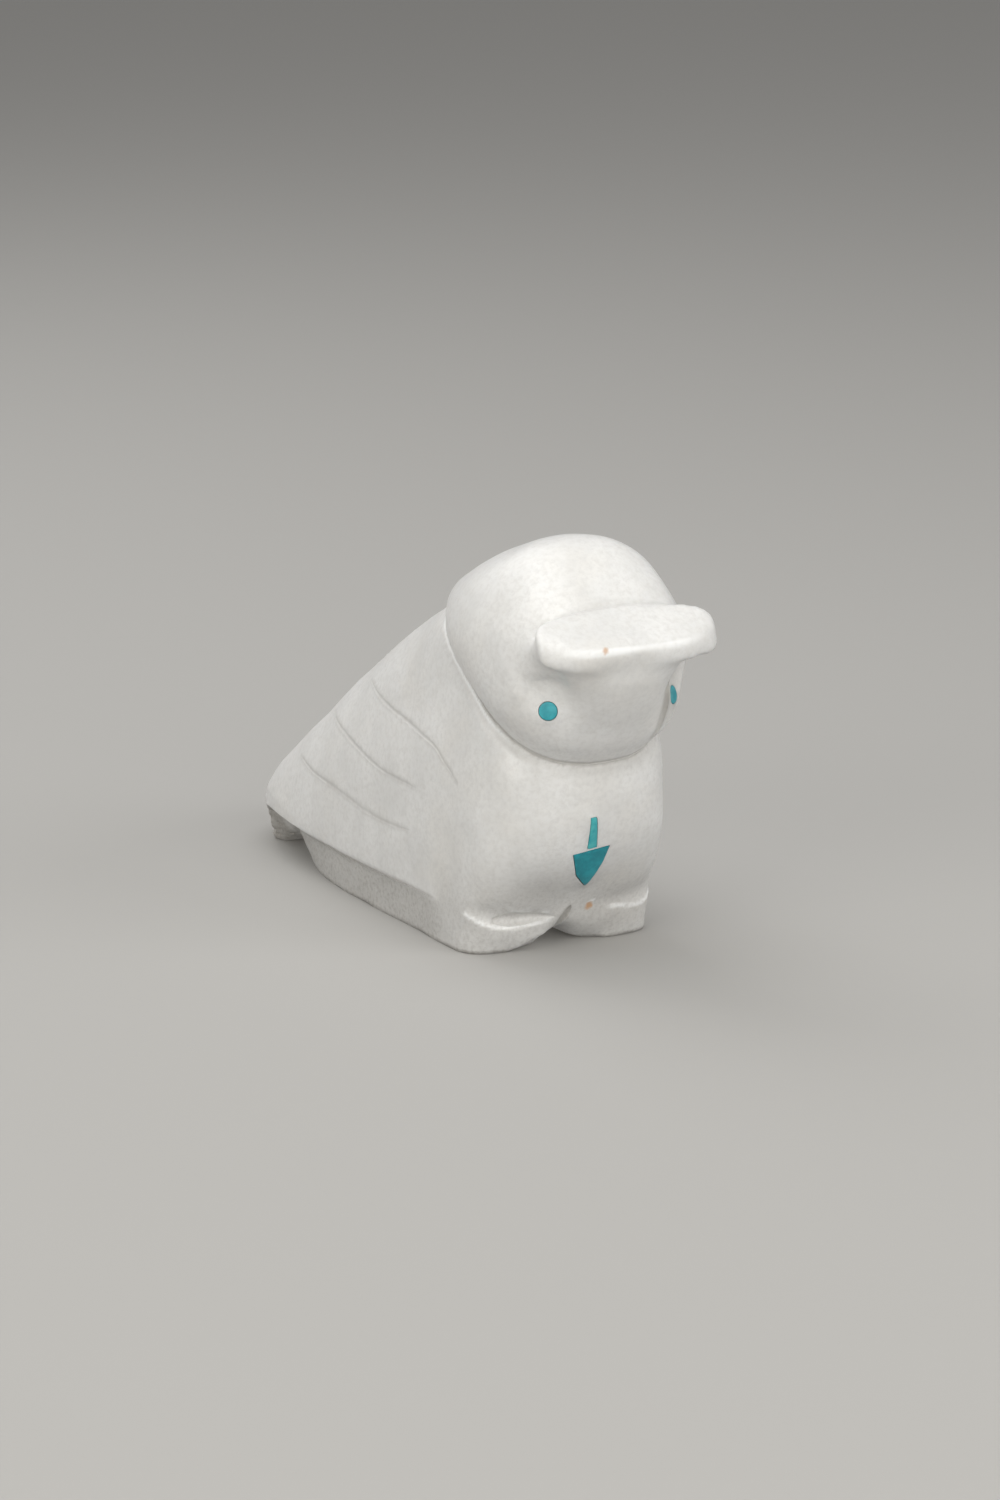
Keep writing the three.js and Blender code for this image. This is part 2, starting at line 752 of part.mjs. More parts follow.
/** The corners of the arrow's shaft, measured up from the tip of the head. */
function arrowShaftCorners() {
  const low = ARROW_HEAD_LENGTH + ARROW_JOINT;
  const high = low + ARROW_SHAFT_LENGTH;
  const half = ARROW_SHAFT_WIDTH / 2;
  return [
    new THREE.Vector2(-half, low),
    new THREE.Vector2(half, low),
    new THREE.Vector2(half - ARROW_SHAFT_TAPER, high),
    new THREE.Vector2(ARROW_SHAFT_TAPER - half, high),
  ];
}

// Assembly

const torso = makeTorso();
let body = torso.subtract(makeAboveNeck(-NECK_COVE_DEEP)).add(torso.intersect(makeNeckCore()));
body = body.add(makeBase()).add(makeTailTip()).subtract(makeNotch());
for (const rows of Object.values(TOE_SCOOPS)) body = body.subtract(makeToeScoop(rows));
for (const line of FEATHER_LINES) {
  for (const sideSign of [1, -1]) body = body.subtract(makeGroove(line, sideSign));
}

const face = makeSkull().add(makeStem());
const hollows = {
  right: makeHollow(face, 1, HOLLOW_WIDE_RIGHT),
  left: makeHollow(face, -1, HOLLOW_WIDE_LEFT),
};
let head = face;
for (const { cutter } of Object.values(hollows)) head = head.subtract(cutter);
head = head.add(makeBrow());

const carved = body.add(head);
const stone = { uncut: carved, cut: carved };
const inlays = {};
for (const [name, { eye, facing }] of Object.entries(hollows)) {
  const shapeOf = (gap) => disc(EYE_DIAMETER / 2 + gap);
  inlays[`eye_inlay_${name}`] = setInlay(stone, shapeOf, eye, facing, new THREE.Vector3(0, 0, 1));
}

const arrow = breastFrame(ARROW_TIP_SIDE, ARROW_TIP_UP);
for (const [name, corners] of [
  ['arrow_head_inlay', arrowHeadCorners()],
  ['arrow_shaft_inlay', arrowShaftCorners()],
]) {
  inlays[name] = setInlay(stone, (gap) => grown(corners, gap), arrow.tip, arrow.facing, arrow.upward);
}

const group = new THREE.Group();
const stoneMesh = new THREE.Mesh(
  geometryOf(stone.cut),
  new THREE.MeshStandardMaterial({ color: STONE_COLOUR, roughness: STONE_ROUGHNESS, metalness: 0 }),
);
stoneMesh.name = 'stone_body';
group.add(stoneMesh);
for (const [name, solid] of Object.entries(inlays)) {
  const mesh = new THREE.Mesh(
    geometryOf(solid),
    new THREE.MeshStandardMaterial({
      color: TURQUOISE_COLOUR,
      roughness: TURQUOISE_ROUGHNESS,
      metalness: 0,
    }),
  );
  mesh.name = name;
  group.add(mesh);
}

const extent = new THREE.Box3().setFromObject(stoneMesh);
group.position.y = -(extent.min.y + extent.max.y) / 2;

export default group;
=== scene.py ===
"""A squat carved stone bird with turquoise inlays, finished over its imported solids.

Everything is in metres. The bird faces -Y, its right side is -X, and it stands on z = 0.
On the bird itself, places are given as the carver would: in millimetres outwards to its right
("side"), forward from the line of its toes ("ahead") and upward from the ground ("up").
"""

from __future__ import annotations

import logging
import math
from dataclasses import dataclass
from enum import Enum
from typing import Iterable, Sequence

import bmesh
import bpy
import numpy as np
from bpy.types import ID, Material, Mesh, Node, NodeSocket, NodeTree, Object
from mathutils import Matrix, Vector

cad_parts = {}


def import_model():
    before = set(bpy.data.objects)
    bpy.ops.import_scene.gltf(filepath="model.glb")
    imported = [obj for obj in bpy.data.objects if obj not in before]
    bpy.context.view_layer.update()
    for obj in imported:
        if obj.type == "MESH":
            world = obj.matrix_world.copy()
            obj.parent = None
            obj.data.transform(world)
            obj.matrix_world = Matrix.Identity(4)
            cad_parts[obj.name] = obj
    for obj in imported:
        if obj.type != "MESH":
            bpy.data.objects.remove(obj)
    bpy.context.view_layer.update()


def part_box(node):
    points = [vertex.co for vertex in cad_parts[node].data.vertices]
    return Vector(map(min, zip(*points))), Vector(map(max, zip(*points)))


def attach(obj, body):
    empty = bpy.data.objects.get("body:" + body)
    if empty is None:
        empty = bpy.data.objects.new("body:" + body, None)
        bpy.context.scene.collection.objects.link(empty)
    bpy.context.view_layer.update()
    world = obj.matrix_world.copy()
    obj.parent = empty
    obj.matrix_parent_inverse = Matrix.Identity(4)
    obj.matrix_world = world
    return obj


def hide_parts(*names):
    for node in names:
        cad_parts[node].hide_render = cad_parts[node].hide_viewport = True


log = logging.getLogger("bird")

MM = 0.001
BODY = "root"
STONE_NODE = "stone_body"
TAIL_BEHIND_TOES = 54.19

Mark = tuple[float, float, float]
Pair = tuple[float, float]
ANYWHERE = (-math.inf, math.inf)


class Side(Enum):
    """The two sides of the bird, each with the sign of its side measure."""

    RIGHT = 1.0
    LEFT = -1.0


class Cut(Enum):
    """What one solid does to another."""

    AWAY = "DIFFERENCE"
    WITHIN = "INTERSECT"


def colour(code: str) -> tuple[float, float, float, float]:
    """A linear colour from an sRGB hex code.

    Args:
        code: Six hex digits, with or without a leading hash.

    Returns:
        Linear red, green and blue, with an alpha of 1.
    """
    digits = code.lstrip("#")
    channels = [int(digits[i : i + 2], 16) / 255 for i in (0, 2, 4)]
    linear = [c / 12.92 if c <= 0.04045 else ((c + 0.055) / 1.055) ** 2.4 for c in channels]
    return (linear[0], linear[1], linear[2], 1.0)


def per_metre(size_mm: float) -> float:
    """The texture scale at which a pattern's cell is this many millimetres wide."""
    return 1 / (size_mm * MM)


@dataclass(frozen=True)
class Fade:
    """A soft step along one measure, from 0 at its start to 1 where it is full, which may lie below its start."""

    start: float
    full: float

    def __call__(self, value: np.ndarray) -> np.ndarray:
        """The step at each value, between 0 and 1."""
        share = np.clip((value - self.start) / (self.full - self.start), 0, 1)
        return share * share * (3 - 2 * share)


@dataclass(frozen=True)
class Zone:
    """A part of the bird with soft borders along its length and height, and how strongly it counts."""

    ahead: tuple[Fade, ...] = ()
    up: tuple[Fade, ...] = ()
    strength: float = 1.0

    def share(self, ahead: np.ndarray, up: np.ndarray) -> np.ndarray:
        """How strongly each place counts, by its ahead and up in millimetres."""
        total = np.full(len(up), self.strength)
        for value, fades in ((up, self.up), (ahead, self.ahead)):
            for fade in fades:
                total = total * fade(value)
        return total


@dataclass(frozen=True)
class Block:
    """A block of space on the bird, between a low and a high side, ahead and up in millimetres."""

    side: Pair = ANYWHERE
    ahead: Pair = ANYWHERE
    up: Pair = ANYWHERE

    def holds(self, side: np.ndarray, ahead: np.ndarray, up: np.ndarray) -> np.ndarray:
        """Whether each place lies inside."""
        pairs = ((side, self.side), (ahead, self.ahead), (up, self.up))
        return np.all([(value > low) & (value < high) for value, (low, high) in pairs], axis=0)


@dataclass(frozen=True)
class Band:
    """A soft-edged band beside a line: how it comes and goes with the distance from it, and how strong it is."""

    fades: tuple[Fade, ...]
    strength: float = 1.0

    def share(self, away: np.ndarray) -> np.ndarray:
        """How strongly each place counts, by its distance in millimetres."""
        return self.strength * math.prod(fade(away) for fade in self.fades)


@dataclass(frozen=True)
class Waves:
    """A smooth random unevenness through space: its wavelength, what it is drawn from and its height."""

    length_mm: float
    seed: int
    height_mm: float
    count: int = 14
    stretch: Pair = (0.7, 1.3)

    def lift(self, points: np.ndarray) -> np.ndarray:
        """How far each place is lifted, all in millimetres."""
        draw = np.random.default_rng(self.seed)
        total = np.zeros(len(points))
        for _ in range(self.count):
            way = draw.normal(size=3)
            way *= draw.uniform(*self.stretch) * 2 * math.pi / self.length_mm / np.linalg.norm(way)
            total += np.sin(points @ way + draw.uniform(0, 2 * math.pi))
        return total / math.sqrt(self.count) * self.height_mm


@dataclass(frozen=True)
class BirdMarks:
    """Turns the carver's marks on the bird into places in the scene and back."""

    toe_line: float

    @classmethod
    def from_frame(cls) -> BirdMarks:
        """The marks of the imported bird, whose tail end is a known way behind its toes."""
        return cls(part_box(STONE_NODE)[1].y - TAIL_BEHIND_TOES * MM)

    def place(self, side: float, ahead: float, up: float) -> Vector:
        """A place in the scene, in metres, from a side, ahead and up in millimetres."""
        return Vector((-side * MM, self.toe_line - ahead * MM, up * MM))

    def read(self, points: np.ndarray) -> tuple[np.ndarray, np.ndarray, np.ndarray]:
        """The side, ahead and up, in millimetres, of places in the scene.

        Args:
            points: Places in metres, one a row.

        Returns:
            Three arrays of millimetres.
        """
        return -points[:, 0] / MM, (self.toe_line - points[:, 1]) / MM, points[:, 2] / MM


def feed(tree: NodeTree, target: Node, inputs: dict) -> None:
    """Gives a node's inputs a value each, or another node's output socket.

    Args:
        tree: The node tree.
        target: The node to feed.
        inputs: Socket name or number to a value, or to an output socket.
    """
    for key, value in inputs.items():
        socket = target.inputs[key]
        if isinstance(value, NodeSocket):
            tree.links.new(value, socket)
        else:
            socket.default_value = value


def node(tree: NodeTree, kind: str, inputs: dict | None = None, **settings: object) -> Node:
    """Adds a node, sets it up and links it.

    Args:
        tree: The node tree to add to.
        kind: The node's type.
        inputs: Socket name or number to a value, or to another node's output socket.
        settings: The node's own properties.

    Returns:
        The new node.
    """
    made = tree.nodes.new(kind)
    for name, value in settings.items():
        setattr(made, name, value)
    feed(tree, made, inputs or {})
    return made


def span(tree: NodeTree, value: NodeSocket, ends: Pair, becomes: Pair = (0.0, 1.0)) -> NodeSocket:
    """A value between two ends, moved to lie between two others."""
    inputs = {"Value": value, "From Min": ends[0], "From Max": ends[1], "To Min": becomes[0], "To Max": becomes[1]}
    return node(tree, "ShaderNodeMapRange", inputs).outputs["Result"]


def times(tree: NodeTree, first: NodeSocket, second: object) -> NodeSocket:
    """A number multiplied by another, which is a value or a socket."""
    return node(tree, "ShaderNodeMath", {0: first, 1: second}, operation="MULTIPLY").outputs[0]


def mixed(tree: NodeTree, share: NodeSocket, first: object, second: object) -> NodeSocket:
    """Two colours, each a value or a socket, mixed by a share."""
    return node(tree, "ShaderNodeMix", {"Factor": share, 6: first, 7: second}, data_type="RGBA").outputs[2]


def painted(tree: NodeTree, name: str) -> NodeSocket:
    """A measure kept at each of the mesh's points."""
    return node(tree, "ShaderNodeAttribute", attribute_name=name).outputs["Fac"]


def new_material(name: str) -> tuple[Material, NodeTree, Node]:
    """An empty material, with its tree and its shader."""
    made = bpy.data.materials.new(name)
    made.use_nodes = True
    return made, made.node_tree, made.node_tree.nodes["Principled BSDF"]


def new_object(name: str, data: ID) -> Object:
    """Puts a mesh, light or camera in the scene as an object at the origin."""
    made = bpy.data.objects.new(name, data)
    bpy.context.scene.collection.objects.link(made)
    return made


def baked(source: Object) -> Mesh:
    """A plain mesh of an object as its modifiers leave it."""
    graph = bpy.context.evaluated_depsgraph_get()
    return bpy.data.meshes.new_from_object(source.evaluated_get(graph), depsgraph=graph)


def settle(target: Object) -> None:
    """Turns an object's modifiers into plain mesh."""
    mesh = baked(target)
    target.modifiers.clear()
    old = target.data
    target.data = mesh
    bpy.data.meshes.remove(old)


def discard(target: Object) -> None:
    """Removes an object and its mesh."""
    mesh = target.data
    bpy.data.objects.remove(target)
    bpy.data.meshes.remove(mesh)


def carve(target: Object, tool: Object, cut: Cut) -> None:
    """Cuts one solid with another and keeps the result.

    Args:
        target: The solid that changes.
        tool: The solid that cuts it, which is used up.
        cut: Whether the tool is taken away, or only what lies within it is kept.
    """
    modifier = target.modifiers.new("cut", "BOOLEAN")
    modifier.object = tool
    modifier.operation = cut.value
    modifier.solver = "MANIFOLD"
    settle(target)
    discard(tool)


def mesh_arrays(mesh: Mesh) -> tuple[np.ndarray, np.ndarray, np.ndarray]:
    """A mesh's points, normals and edges.

    Args:
        mesh: The mesh to read.

    Returns:
        Points and normals as rows of three, and edges as rows of two point numbers.
    """
    count = len(mesh.vertices)
    points = np.empty(count * 3, np.float32)
    normals = np.empty(count * 3, np.float32)
    edges = np.empty(len(mesh.edges) * 2, np.int32)
    mesh.vertices.foreach_get("co", points)
    mesh.vertex_normals.foreach_get("vector", normals)
    mesh.edges.foreach_get("vertices", edges)
    return (
        points.reshape(-1, 3).astype(float),
        normals.reshape(-1, 3).astype(float),
        edges.reshape(-1, 2),
    )


def move_points(mesh: Mesh, points: np.ndarray) -> None:
    """Puts a mesh's points at new places."""
    mesh.vertices.foreach_set("co", points.astype(np.float32).ravel())
    mesh.update()


def facing_out(mesh: Mesh) -> Mesh:
    """Turns a closed mesh's faces outwards."""
    turned = bmesh.new()
    turned.from_mesh(mesh)
    bmesh.ops.recalc_face_normals(turned, faces=turned.faces)
    turned.to_mesh(mesh)
    turned.free()
    return mesh


def lofted(name: str, rings: Sequence[Sequence[Vector]]) -> Mesh:
    """A closed mesh drawn over a row of rings and capped at both ends.

    Args:
        name: The new mesh's name.
        rings: Rings of places, all with the same number of them.

    Returns:
        The mesh.
    """
    count = len(rings[0])
    last = (len(rings) - 1) * count
    faces = [tuple(reversed(range(count))), tuple(range(last, last + count))]
    for start in range(0, last, count):
        for i in range(count):
            here, after = start + i, start + (i + 1) % count
            faces.append((here, after, after + count, here + count))
    mesh = bpy.data.meshes.new(name)
    mesh.from_pydata([spot for ring in rings for spot in ring], [], faces)
    return mesh


def smooth_rows(knots: np.ndarray, step: float, closed: bool) -> np.ndarray:
    """Rows of numbers made dense along a smooth curve through them.

    Args:
        knots: The rows to pass through, whose first three numbers are a place.
        step: The distance between the dense rows.
        closed: Whether the curve runs back to its first row.

    Returns:
        The dense rows.
    """
    if closed:
        padded = np.vstack([knots[-1:], knots, knots[:2]])
    else:
        padded = np.vstack([2 * knots[0] - knots[1], knots, 2 * knots[-1] - knots[-2]])
    dense: list[np.ndarray] = []
    for a, b, c, d in zip(padded, padded[1:], padded[2:], padded[3:]):
        steps = max(int(np.linalg.norm((c - b)[:3]) / step), 1)
        t = (np.arange(steps) / steps)[:, None]
        dense.append(
            0.5 * (2 * b + (c - a) * t + (2 * a - 5 * b + 4 * c - d) * t**2 + (3 * b - a - 3 * c + d) * t**3)
        )
    if not closed:
        dense.append(knots[-1:])
    return np.vstack(dense)


@dataclass(frozen=True)
class Rubbing:
    """Rubs a surface smooth as a stone is rubbed down, without wearing it smaller.

    Lengthwise rubbing keeps to one height, so it takes off upright ridges and leaves level edges.
    """

    rounds: int
    lengthwise: bool = False
    stroke: float = 0.5
    level_slope: float = 0.35

    def _rubbed(self, points: np.ndarray, edges: np.ndarray, grip: np.ndarray) -> np.ndarray:
        """Each point drawn towards the middle of its neighbours, round after round."""
        count = len(points)
        first, second = edges[:, 0], edges[:, 1]
        degree = np.maximum(np.bincount(edges.ravel(), minlength=count), 1)[:, None]
        moved = points.copy()
        for _ in range(self.rounds):
            total = np.stack(
                [
                    np.bincount(first, moved[second, axis], count) + np.bincount(second, moved[first, axis], count)
                    for axis in range(3)
                ],
                axis=1,
            )
            moved += self.stroke * grip * (total / degree - moved) * (degree > 1)
        return moved

    def apply(self, mesh: Mesh, grip: np.ndarray) -> None:
        """Rubs a mesh and gives back what the rubbing shrank.

        Args:
            mesh: The mesh to rub.
            grip: How hard each point is rubbed, from 0 to 1.
        """
        points, _, edges = mesh_arrays(mesh)
        if self.lengthwise:
            run = points[edges[:, 1]] - points[edges[:, 0]]
            edges = edges[np.abs(run[:, 2]) < self.level_slope * np.linalg.norm(run, axis=1)]
        held = grip[:, None]
        once = self._rubbed(points, edges, held)
        twice = self._rubbed(once, edges, held)
        move_points(mesh, 2 * once - twice)


@dataclass(frozen=True)
class Pattern:
    """A cloudy pattern through a stone: how wide its clouds are, where they start, and how strong they get."""

    size_mm: float
    ends: Pair = (0.0, 1.0)
    most: float = 1.0
    detail: float = 2.0
    roughness: float = 0.5
    distortion: float = 0.0

    def noise(self, tree: NodeTree, where: NodeSocket) -> NodeSocket:
        """The plain pattern at a coordinate, from 0 to 1."""
        inputs = {"Vector": where, "Scale": per_metre(self.size_mm), "Detail": self.detail}
        inputs |= {"Roughness": self.roughness, "Distortion": self.distortion}
        return node(tree, "ShaderNodeTexNoise", inputs).outputs["Fac"]

    def clouds(self, tree: NodeTree, noise: NodeSocket) -> NodeSocket:
        """How strongly the clouds show, from the plain pattern."""
        return span(tree, noise, self.ends, (0.0, self.most))


@dataclass(frozen=True)
class StoneFinish:
    """Milky white alabaster, hand-rubbed to a low shine, with its base left as it was ground.

    Light enters the stone a little way before it comes back, so its shadows are soft and its
    edges glow. Clouds of greyer and warmer stone drift through it, and a few tan specks show.
    """

    milk: str = "#EFEEEB"
    cloud: str = "#E6E5E2"
    warm: str = "#E6E2DA"
    fleck: str = "#DCDAD6"
    tan: str = "#C99F78"
    pit: str = "#857E74"
    # grey of ground stone, which on the feet also serves as painted shade
    dull_and_shade: str = "#B4B1AB"
    # greyish brown of grit in the ground stone, also used for painted shade in grooves, creases, hollows and below the
    # neck
    dust_and_shade: str = "#847D73"
    # painted highlight: a lighter colour laid along rims and the neck lip, where light catches them
    painted_highlight: str = "#FBFBF9"
    clouding: Pattern = Pattern(5.0, (0.38, 0.68), detail=3.0, distortion=0.4)
    drift: Pattern = Pattern(8.5, (0.5, 0.78), 0.5)
    grain: Pattern = Pattern(0.55, (0.42, 0.75), 0.8, 4.0, 0.62)
    grit: Pattern = Pattern(0.4, (0.46, 0.68), 0.5, 3.0, 0.65)
    scratches: Pattern = Pattern(0.22, detail=3.0, roughness=0.6)
    most_dull_and_shade: float = 0.95
    most_dust_and_shade: float = 0.5
    polished: Pair = (0.25, 0.39)
    ground: float = 0.62
    relief: Pair = (0.03, 0.3)
    relief_mm: float = 0.1
    ior: float = 1.53
    glow: float = 0.22
    glow_reach_mm: float = 1.6
    glow_tint: tuple[float, float, float] = (1.0, 0.94, 0.86)

    def material(self, marks: BirdMarks, specks: Iterable[Speck]) -> Material:
        """Builds the material.

        Args:
            marks: The bird's marks, which place the specks.
            specks: Small spots of other colour in the stone.

        Returns:
            The new material.
        """
        made, tree, shader = new_material("milky_alabaster")
        where = node(tree, "ShaderNodeTexCoord").outputs["Object"]
        rough_part = painted(tree, "ground")
        noises = [pattern.noise(tree, where) for pattern in (self.clouding, self.drift, self.grain, self.grit)]
        clouding, drift, grain, grit = noises
        tone: object = colour(self.milk)
        for share, code in (
            (self.clouding.clouds(tree, clouding), self.cloud),
            (self.drift.clouds(tree, drift), self.warm),
            (self.grain.clouds(tree, grain), self.fleck),
            (times(tree, rough_part, self.most_dull_and_shade), self.dull_and_shade),
            # painted highlight on the rims and the neck lip
            (painted(tree, "painted_highlight"), self.painted_highlight),
            # painted shade in grooves, creases, hollows and below the neck, with some real dust
            (times(tree, painted(tree, "dust_and_shade"), self.most_dust_and_shade), self.dust_and_shade),
            (times(tree, self.grit.clouds(tree, grit), rough_part), self.dust_and_shade),
        ):
            tone = mixed(tree, share, tone, colour(code))
        for speck in specks:
            tone = speck.paint(tree, marks, where, tone, self)
        sheen = span(tree, grain, (0.0, 1.0), self.polished)
        roughness = node(tree, "ShaderNodeMix", {"Factor": rough_part, 2: sheen, 3: self.ground}, data_type="FLOAT")
        relief = {"Height": self.scratches.noise(tree, where), "Distance": self.relief_mm * MM}
        relief["Strength"] = span(tree, rough_part, (0.0, 1.0), self.relief)
        look = {"Base Color": tone, "Roughness": roughness.outputs[0], "IOR": self.ior}
        look["Normal"] = node(tree, "ShaderNodeBump", relief).outputs["Normal"]
        glow = {"Weight": self.glow, "Radius": self.glow_tint, "Scale": self.glow_reach_mm * MM}
        feed(tree, shader, look | {f"Subsurface {name}": value for name, value in glow.items()})
        return made


@dataclass(frozen=True)
class Speck:
    """A small spot of other colour in the stone."""

    where: Mark
    radius_mm: float
    strength: float
    dark: bool = False
    soft: float = 0.35
    ragged: float = 1.5

    def paint(
        self,
        tree: NodeTree,
        marks: BirdMarks,
        coordinate: NodeSocket,
        tone: NodeSocket,
        finish: StoneFinish,
    ) -> NodeSocket:
        """Adds the spot over a colour.

        Args:
            tree: The material's tree.
            marks: The bird's marks.
            coordinate: Object coordinates.
            tone: The colour below.
            finish: The stone, which has the spot's colour.

        Returns:
            The colour with the spot on it.
        """
        radius = self.radius_mm * MM
        ends = {0: coordinate, 1: marks.place(*self.where)}
        away = node(tree, "ShaderNodeVectorMath", ends, operation="DISTANCE").outputs["Value"]
        uneven = {0: Pattern(self.radius_mm).noise(tree, coordinate), 1: radius, 2: away}
        bent = node(tree, "ShaderNodeMath", uneven, operation="MULTIPLY_ADD").outputs[0]
        edge = radius * self.ragged
        share = span(tree, bent, (edge * (1 - self.soft), edge), (self.strength, 0.0))
        return mixed(tree, share, tone, colour(finish.pit if self.dark else finish.tan))


@dataclass(frozen=True)
class TurquoiseFinish:
    """Turquoise, cut and rubbed flush with the stone: even blue-green with darker clouds, waxy."""

    name: str
    body: str
    deep: str
    clouding: Pattern = Pattern(1.1, (0.38, 0.62), detail=4.0, roughness=0.6)
    waxy: Pair = (0.29, 0.42)
    ior: float = 1.61

    def material(self) -> Material:
        """Builds the material."""
        made, tree, shader = new_material(self.name)
        noise = self.clouding.noise(tree, node(tree, "ShaderNodeTexCoord").outputs["Object"])
        tone = mixed(tree, self.clouding.clouds(tree, noise), colour(self.body), colour(self.deep))
        wax = span(tree, noise, (0.0, 1.0), self.waxy)
        feed(tree, shader, {"Base Color": tone, "Roughness": wax, "IOR": self.ior})
        return made


@dataclass(frozen=True)
class EngravedLine:
    """A line cut into the stone: where it runs and the way it is cut in, in carver's marks."""

    course: np.ndarray
    aims: np.ndarray
    radius_mm: float
    closed: bool = False

    @classmethod
    def straight(cls, course: Iterable[Mark], aim: Mark, radius_mm: float) -> EngravedLine:
        """A line cut in the same way all along."""
        places = np.array(list(course))
        return cls(places, np.tile(aim, (len(places), 1)), radius_mm)


@dataclass
class EngravingTool:
    """Makes the cutter for every engraved line, as tubes that follow the stone's surface."""

    lines: list[EngravedLine]
    marks: BirdMarks
    raised: float
    step_mm: float = 0.25
    sides: int = 10
    reach_mm: float = 60.0
    run_out: float = 0.12
    taper: float = 0.4

    def _tree(self) -> bpy.types.GeometryNodeTree:
        """The tree: polylines thrown onto the stone, raised a little, and given a round section."""
        tree = bpy.data.node_groups.new("engraving", "GeometryNodeTree")
        kinds = {"Courses": "Geometry", "Stone": "Object", "Reach": "Float", "Sides": "Int"}
        kinds |= {"Step": "Float", "Raised": "Float", "Finish": "Material"}
        for name, kind in kinds.items():
            tree.interface.new_socket(name=name, in_out="INPUT", socket_type=f"NodeSocket{kind}")
        tree.interface.new_socket(name="Cutter", in_out="OUTPUT", socket_type="NodeSocketGeometry")

        def add(kind: str, inputs: dict, output: str, **settings: object) -> NodeSocket:
            """One output of a new geometry node."""
            return node(tree, f"GeometryNode{kind}", inputs, **settings).outputs[output]

        given = node(tree, "NodeGroupInput").outputs
        stone = add("ObjectInfo", {"Object": given["Stone"]}, "Geometry")
        aim = add("InputNamedAttribute", {"Name": "aim"}, "Attribute", data_type="FLOAT_VECTOR")
        swell = add("InputNamedAttribute", {"Name": "swell"}, "Attribute", data_type="FLOAT")
        curve = add("MeshToCurve", {"Mesh": given["Courses"]}, "Curve")
        rays = {"Target Geometry": stone, "Ray Direction": aim, "Ray Length": given["Reach"]}
        thrown = node(tree, "GeometryNodeRaycast", rays).outputs
        spots = {"Geometry": curve, "Selection": thrown["Is Hit"], "Position": thrown["Hit Position"]}
        landed = add("SetPosition", spots, "Geometry")
        even = add("ResampleCurve", {"Curve": landed, "Length": given["Step"]}, "Curve", mode="LENGTH")
        lift = {0: aim, "Scale": times(tree, swell, given["Raised"])}
        back = node(tree, "ShaderNodeVectorMath", lift, operation="SCALE").outputs[0]
        raised = add("SetPosition", {"Geometry": even, "Offset": back}, "Geometry")
        section = add("CurvePrimitiveCircle", {"Resolution": given["Sides"], "Radius": 1.0}, "Curve")
        tube = {"Curve": raised, "Profile Curve": section, "Scale": swell, "Fill Caps": True}
        real = add("RealizeInstances", {"Geometry": add("CurveToMesh", tube, "Mesh")}, "Geometry")
        dressed = add("SetMaterial", {"Geometry": real, "Material": given["Finish"]}, "Geometry")
        node(tree, "NodeGroupOutput", {"Cutter": dressed})
        return tree

    def _courses(self) -> Object:
        """The lines as loose edges, with the aim and the width kept at each point."""
        points: list[Vector] = []
        edges: list[tuple[int, int]] = []
        aims: list[float] = []
        swells: list[float] = []
        for line in self.lines:
            dense = smooth_rows(np.hstack([line.course, line.aims]), self.step_mm, line.closed)
            start = len(points)
            last = len(dense) - 1
            for i, (*spot, side, ahead, up) in enumerate(dense):
                points.append(self.marks.place(*spot))
                aims.extend(Vector((-side, -ahead, up)).normalized())
                taper = 1.0 if line.closed else max(math.sin(math.pi * i / last), 0.0) ** self.taper
                swells.append(line.radius_mm * MM * max(taper, self.run_out))
                if i:
                    edges.append((start + i - 1, start + i))
            if line.closed:
                edges.append((start + last, start))
        mesh = bpy.data.meshes.new("courses")
        mesh.from_pydata(points, edges, [])
        mesh.attributes.new("aim", "FLOAT_VECTOR", "POINT").data.foreach_set("vector", aims)
        mesh.attributes.new("swell", "FLOAT", "POINT").data.foreach_set("value", swells)
        return new_object("courses", mesh)

    def cutter(self, stone: Object, finish: Material) -> Object:
        """Makes the cutter.

        Args:
            stone: The solid that the lines are thrown onto.
            finish: The material of the cut faces.

        Returns:
            A closed mesh of every line.
        """
        tool = self._courses()
        modifier = tool.modifiers.new("engraving", "NODES")
        modifier.node_group = self._tree()
        values = {
            "Stone": stone,
            "Reach": self.reach_mm * MM,
            "Sides": self.sides,
            "Step": self.step_mm * MM,
            "Raised": -self.raised,
            "Finish": finish,
        }
        for item in modifier.node_group.interface.items_tree:
            if item.in_out == "INPUT" and item.name in values:
                modifier[item.identifier] = values[item.name]
        settle(tool)
        return tool


@dataclass(frozen=True)
class ToeFile:
    """The tapered oval file that scoops the stone out over one foot's toes.

    Each row is the side and the height of its middle, and half its own height there.
    """

    rows: tuple[Mark, ...]
    roundness: float = 1.3
    sides: int = 32
    step_mm: float = 0.3
    clear_mm: float = 100.0

    def cutter(self, marks: BirdMarks, solid: Object) -> Object:
        """Makes the cutter, as deep at each place as the solid's own scoop.

        Args:
            marks: The bird's marks.
            solid: The solid with the scoops in it.

        Returns:
            A closed mesh.
        """
        rings: list[list[Vector]] = []
        turns = [2 * math.pi * i / self.sides for i in range(self.sides)]
        for side, up, tall in smooth_rows(np.array(self.rows), self.step_mm, False):
            found, place, _, _ = solid.ray_cast(marks.place(side, self.clear_mm, up), Vector((0, 1, 0)))
            deepest = (marks.toe_line - place.y) / MM if found else 0.0
            reach = tall * self.roundness
            spots = [(deepest + reach + reach * math.cos(turn), up + tall * math.sin(turn)) for turn in turns]
            rings.append([marks.place(side, *spot) for spot in spots])
        return new_object("toe_file", facing_out(lofted("toe_file", rings)))


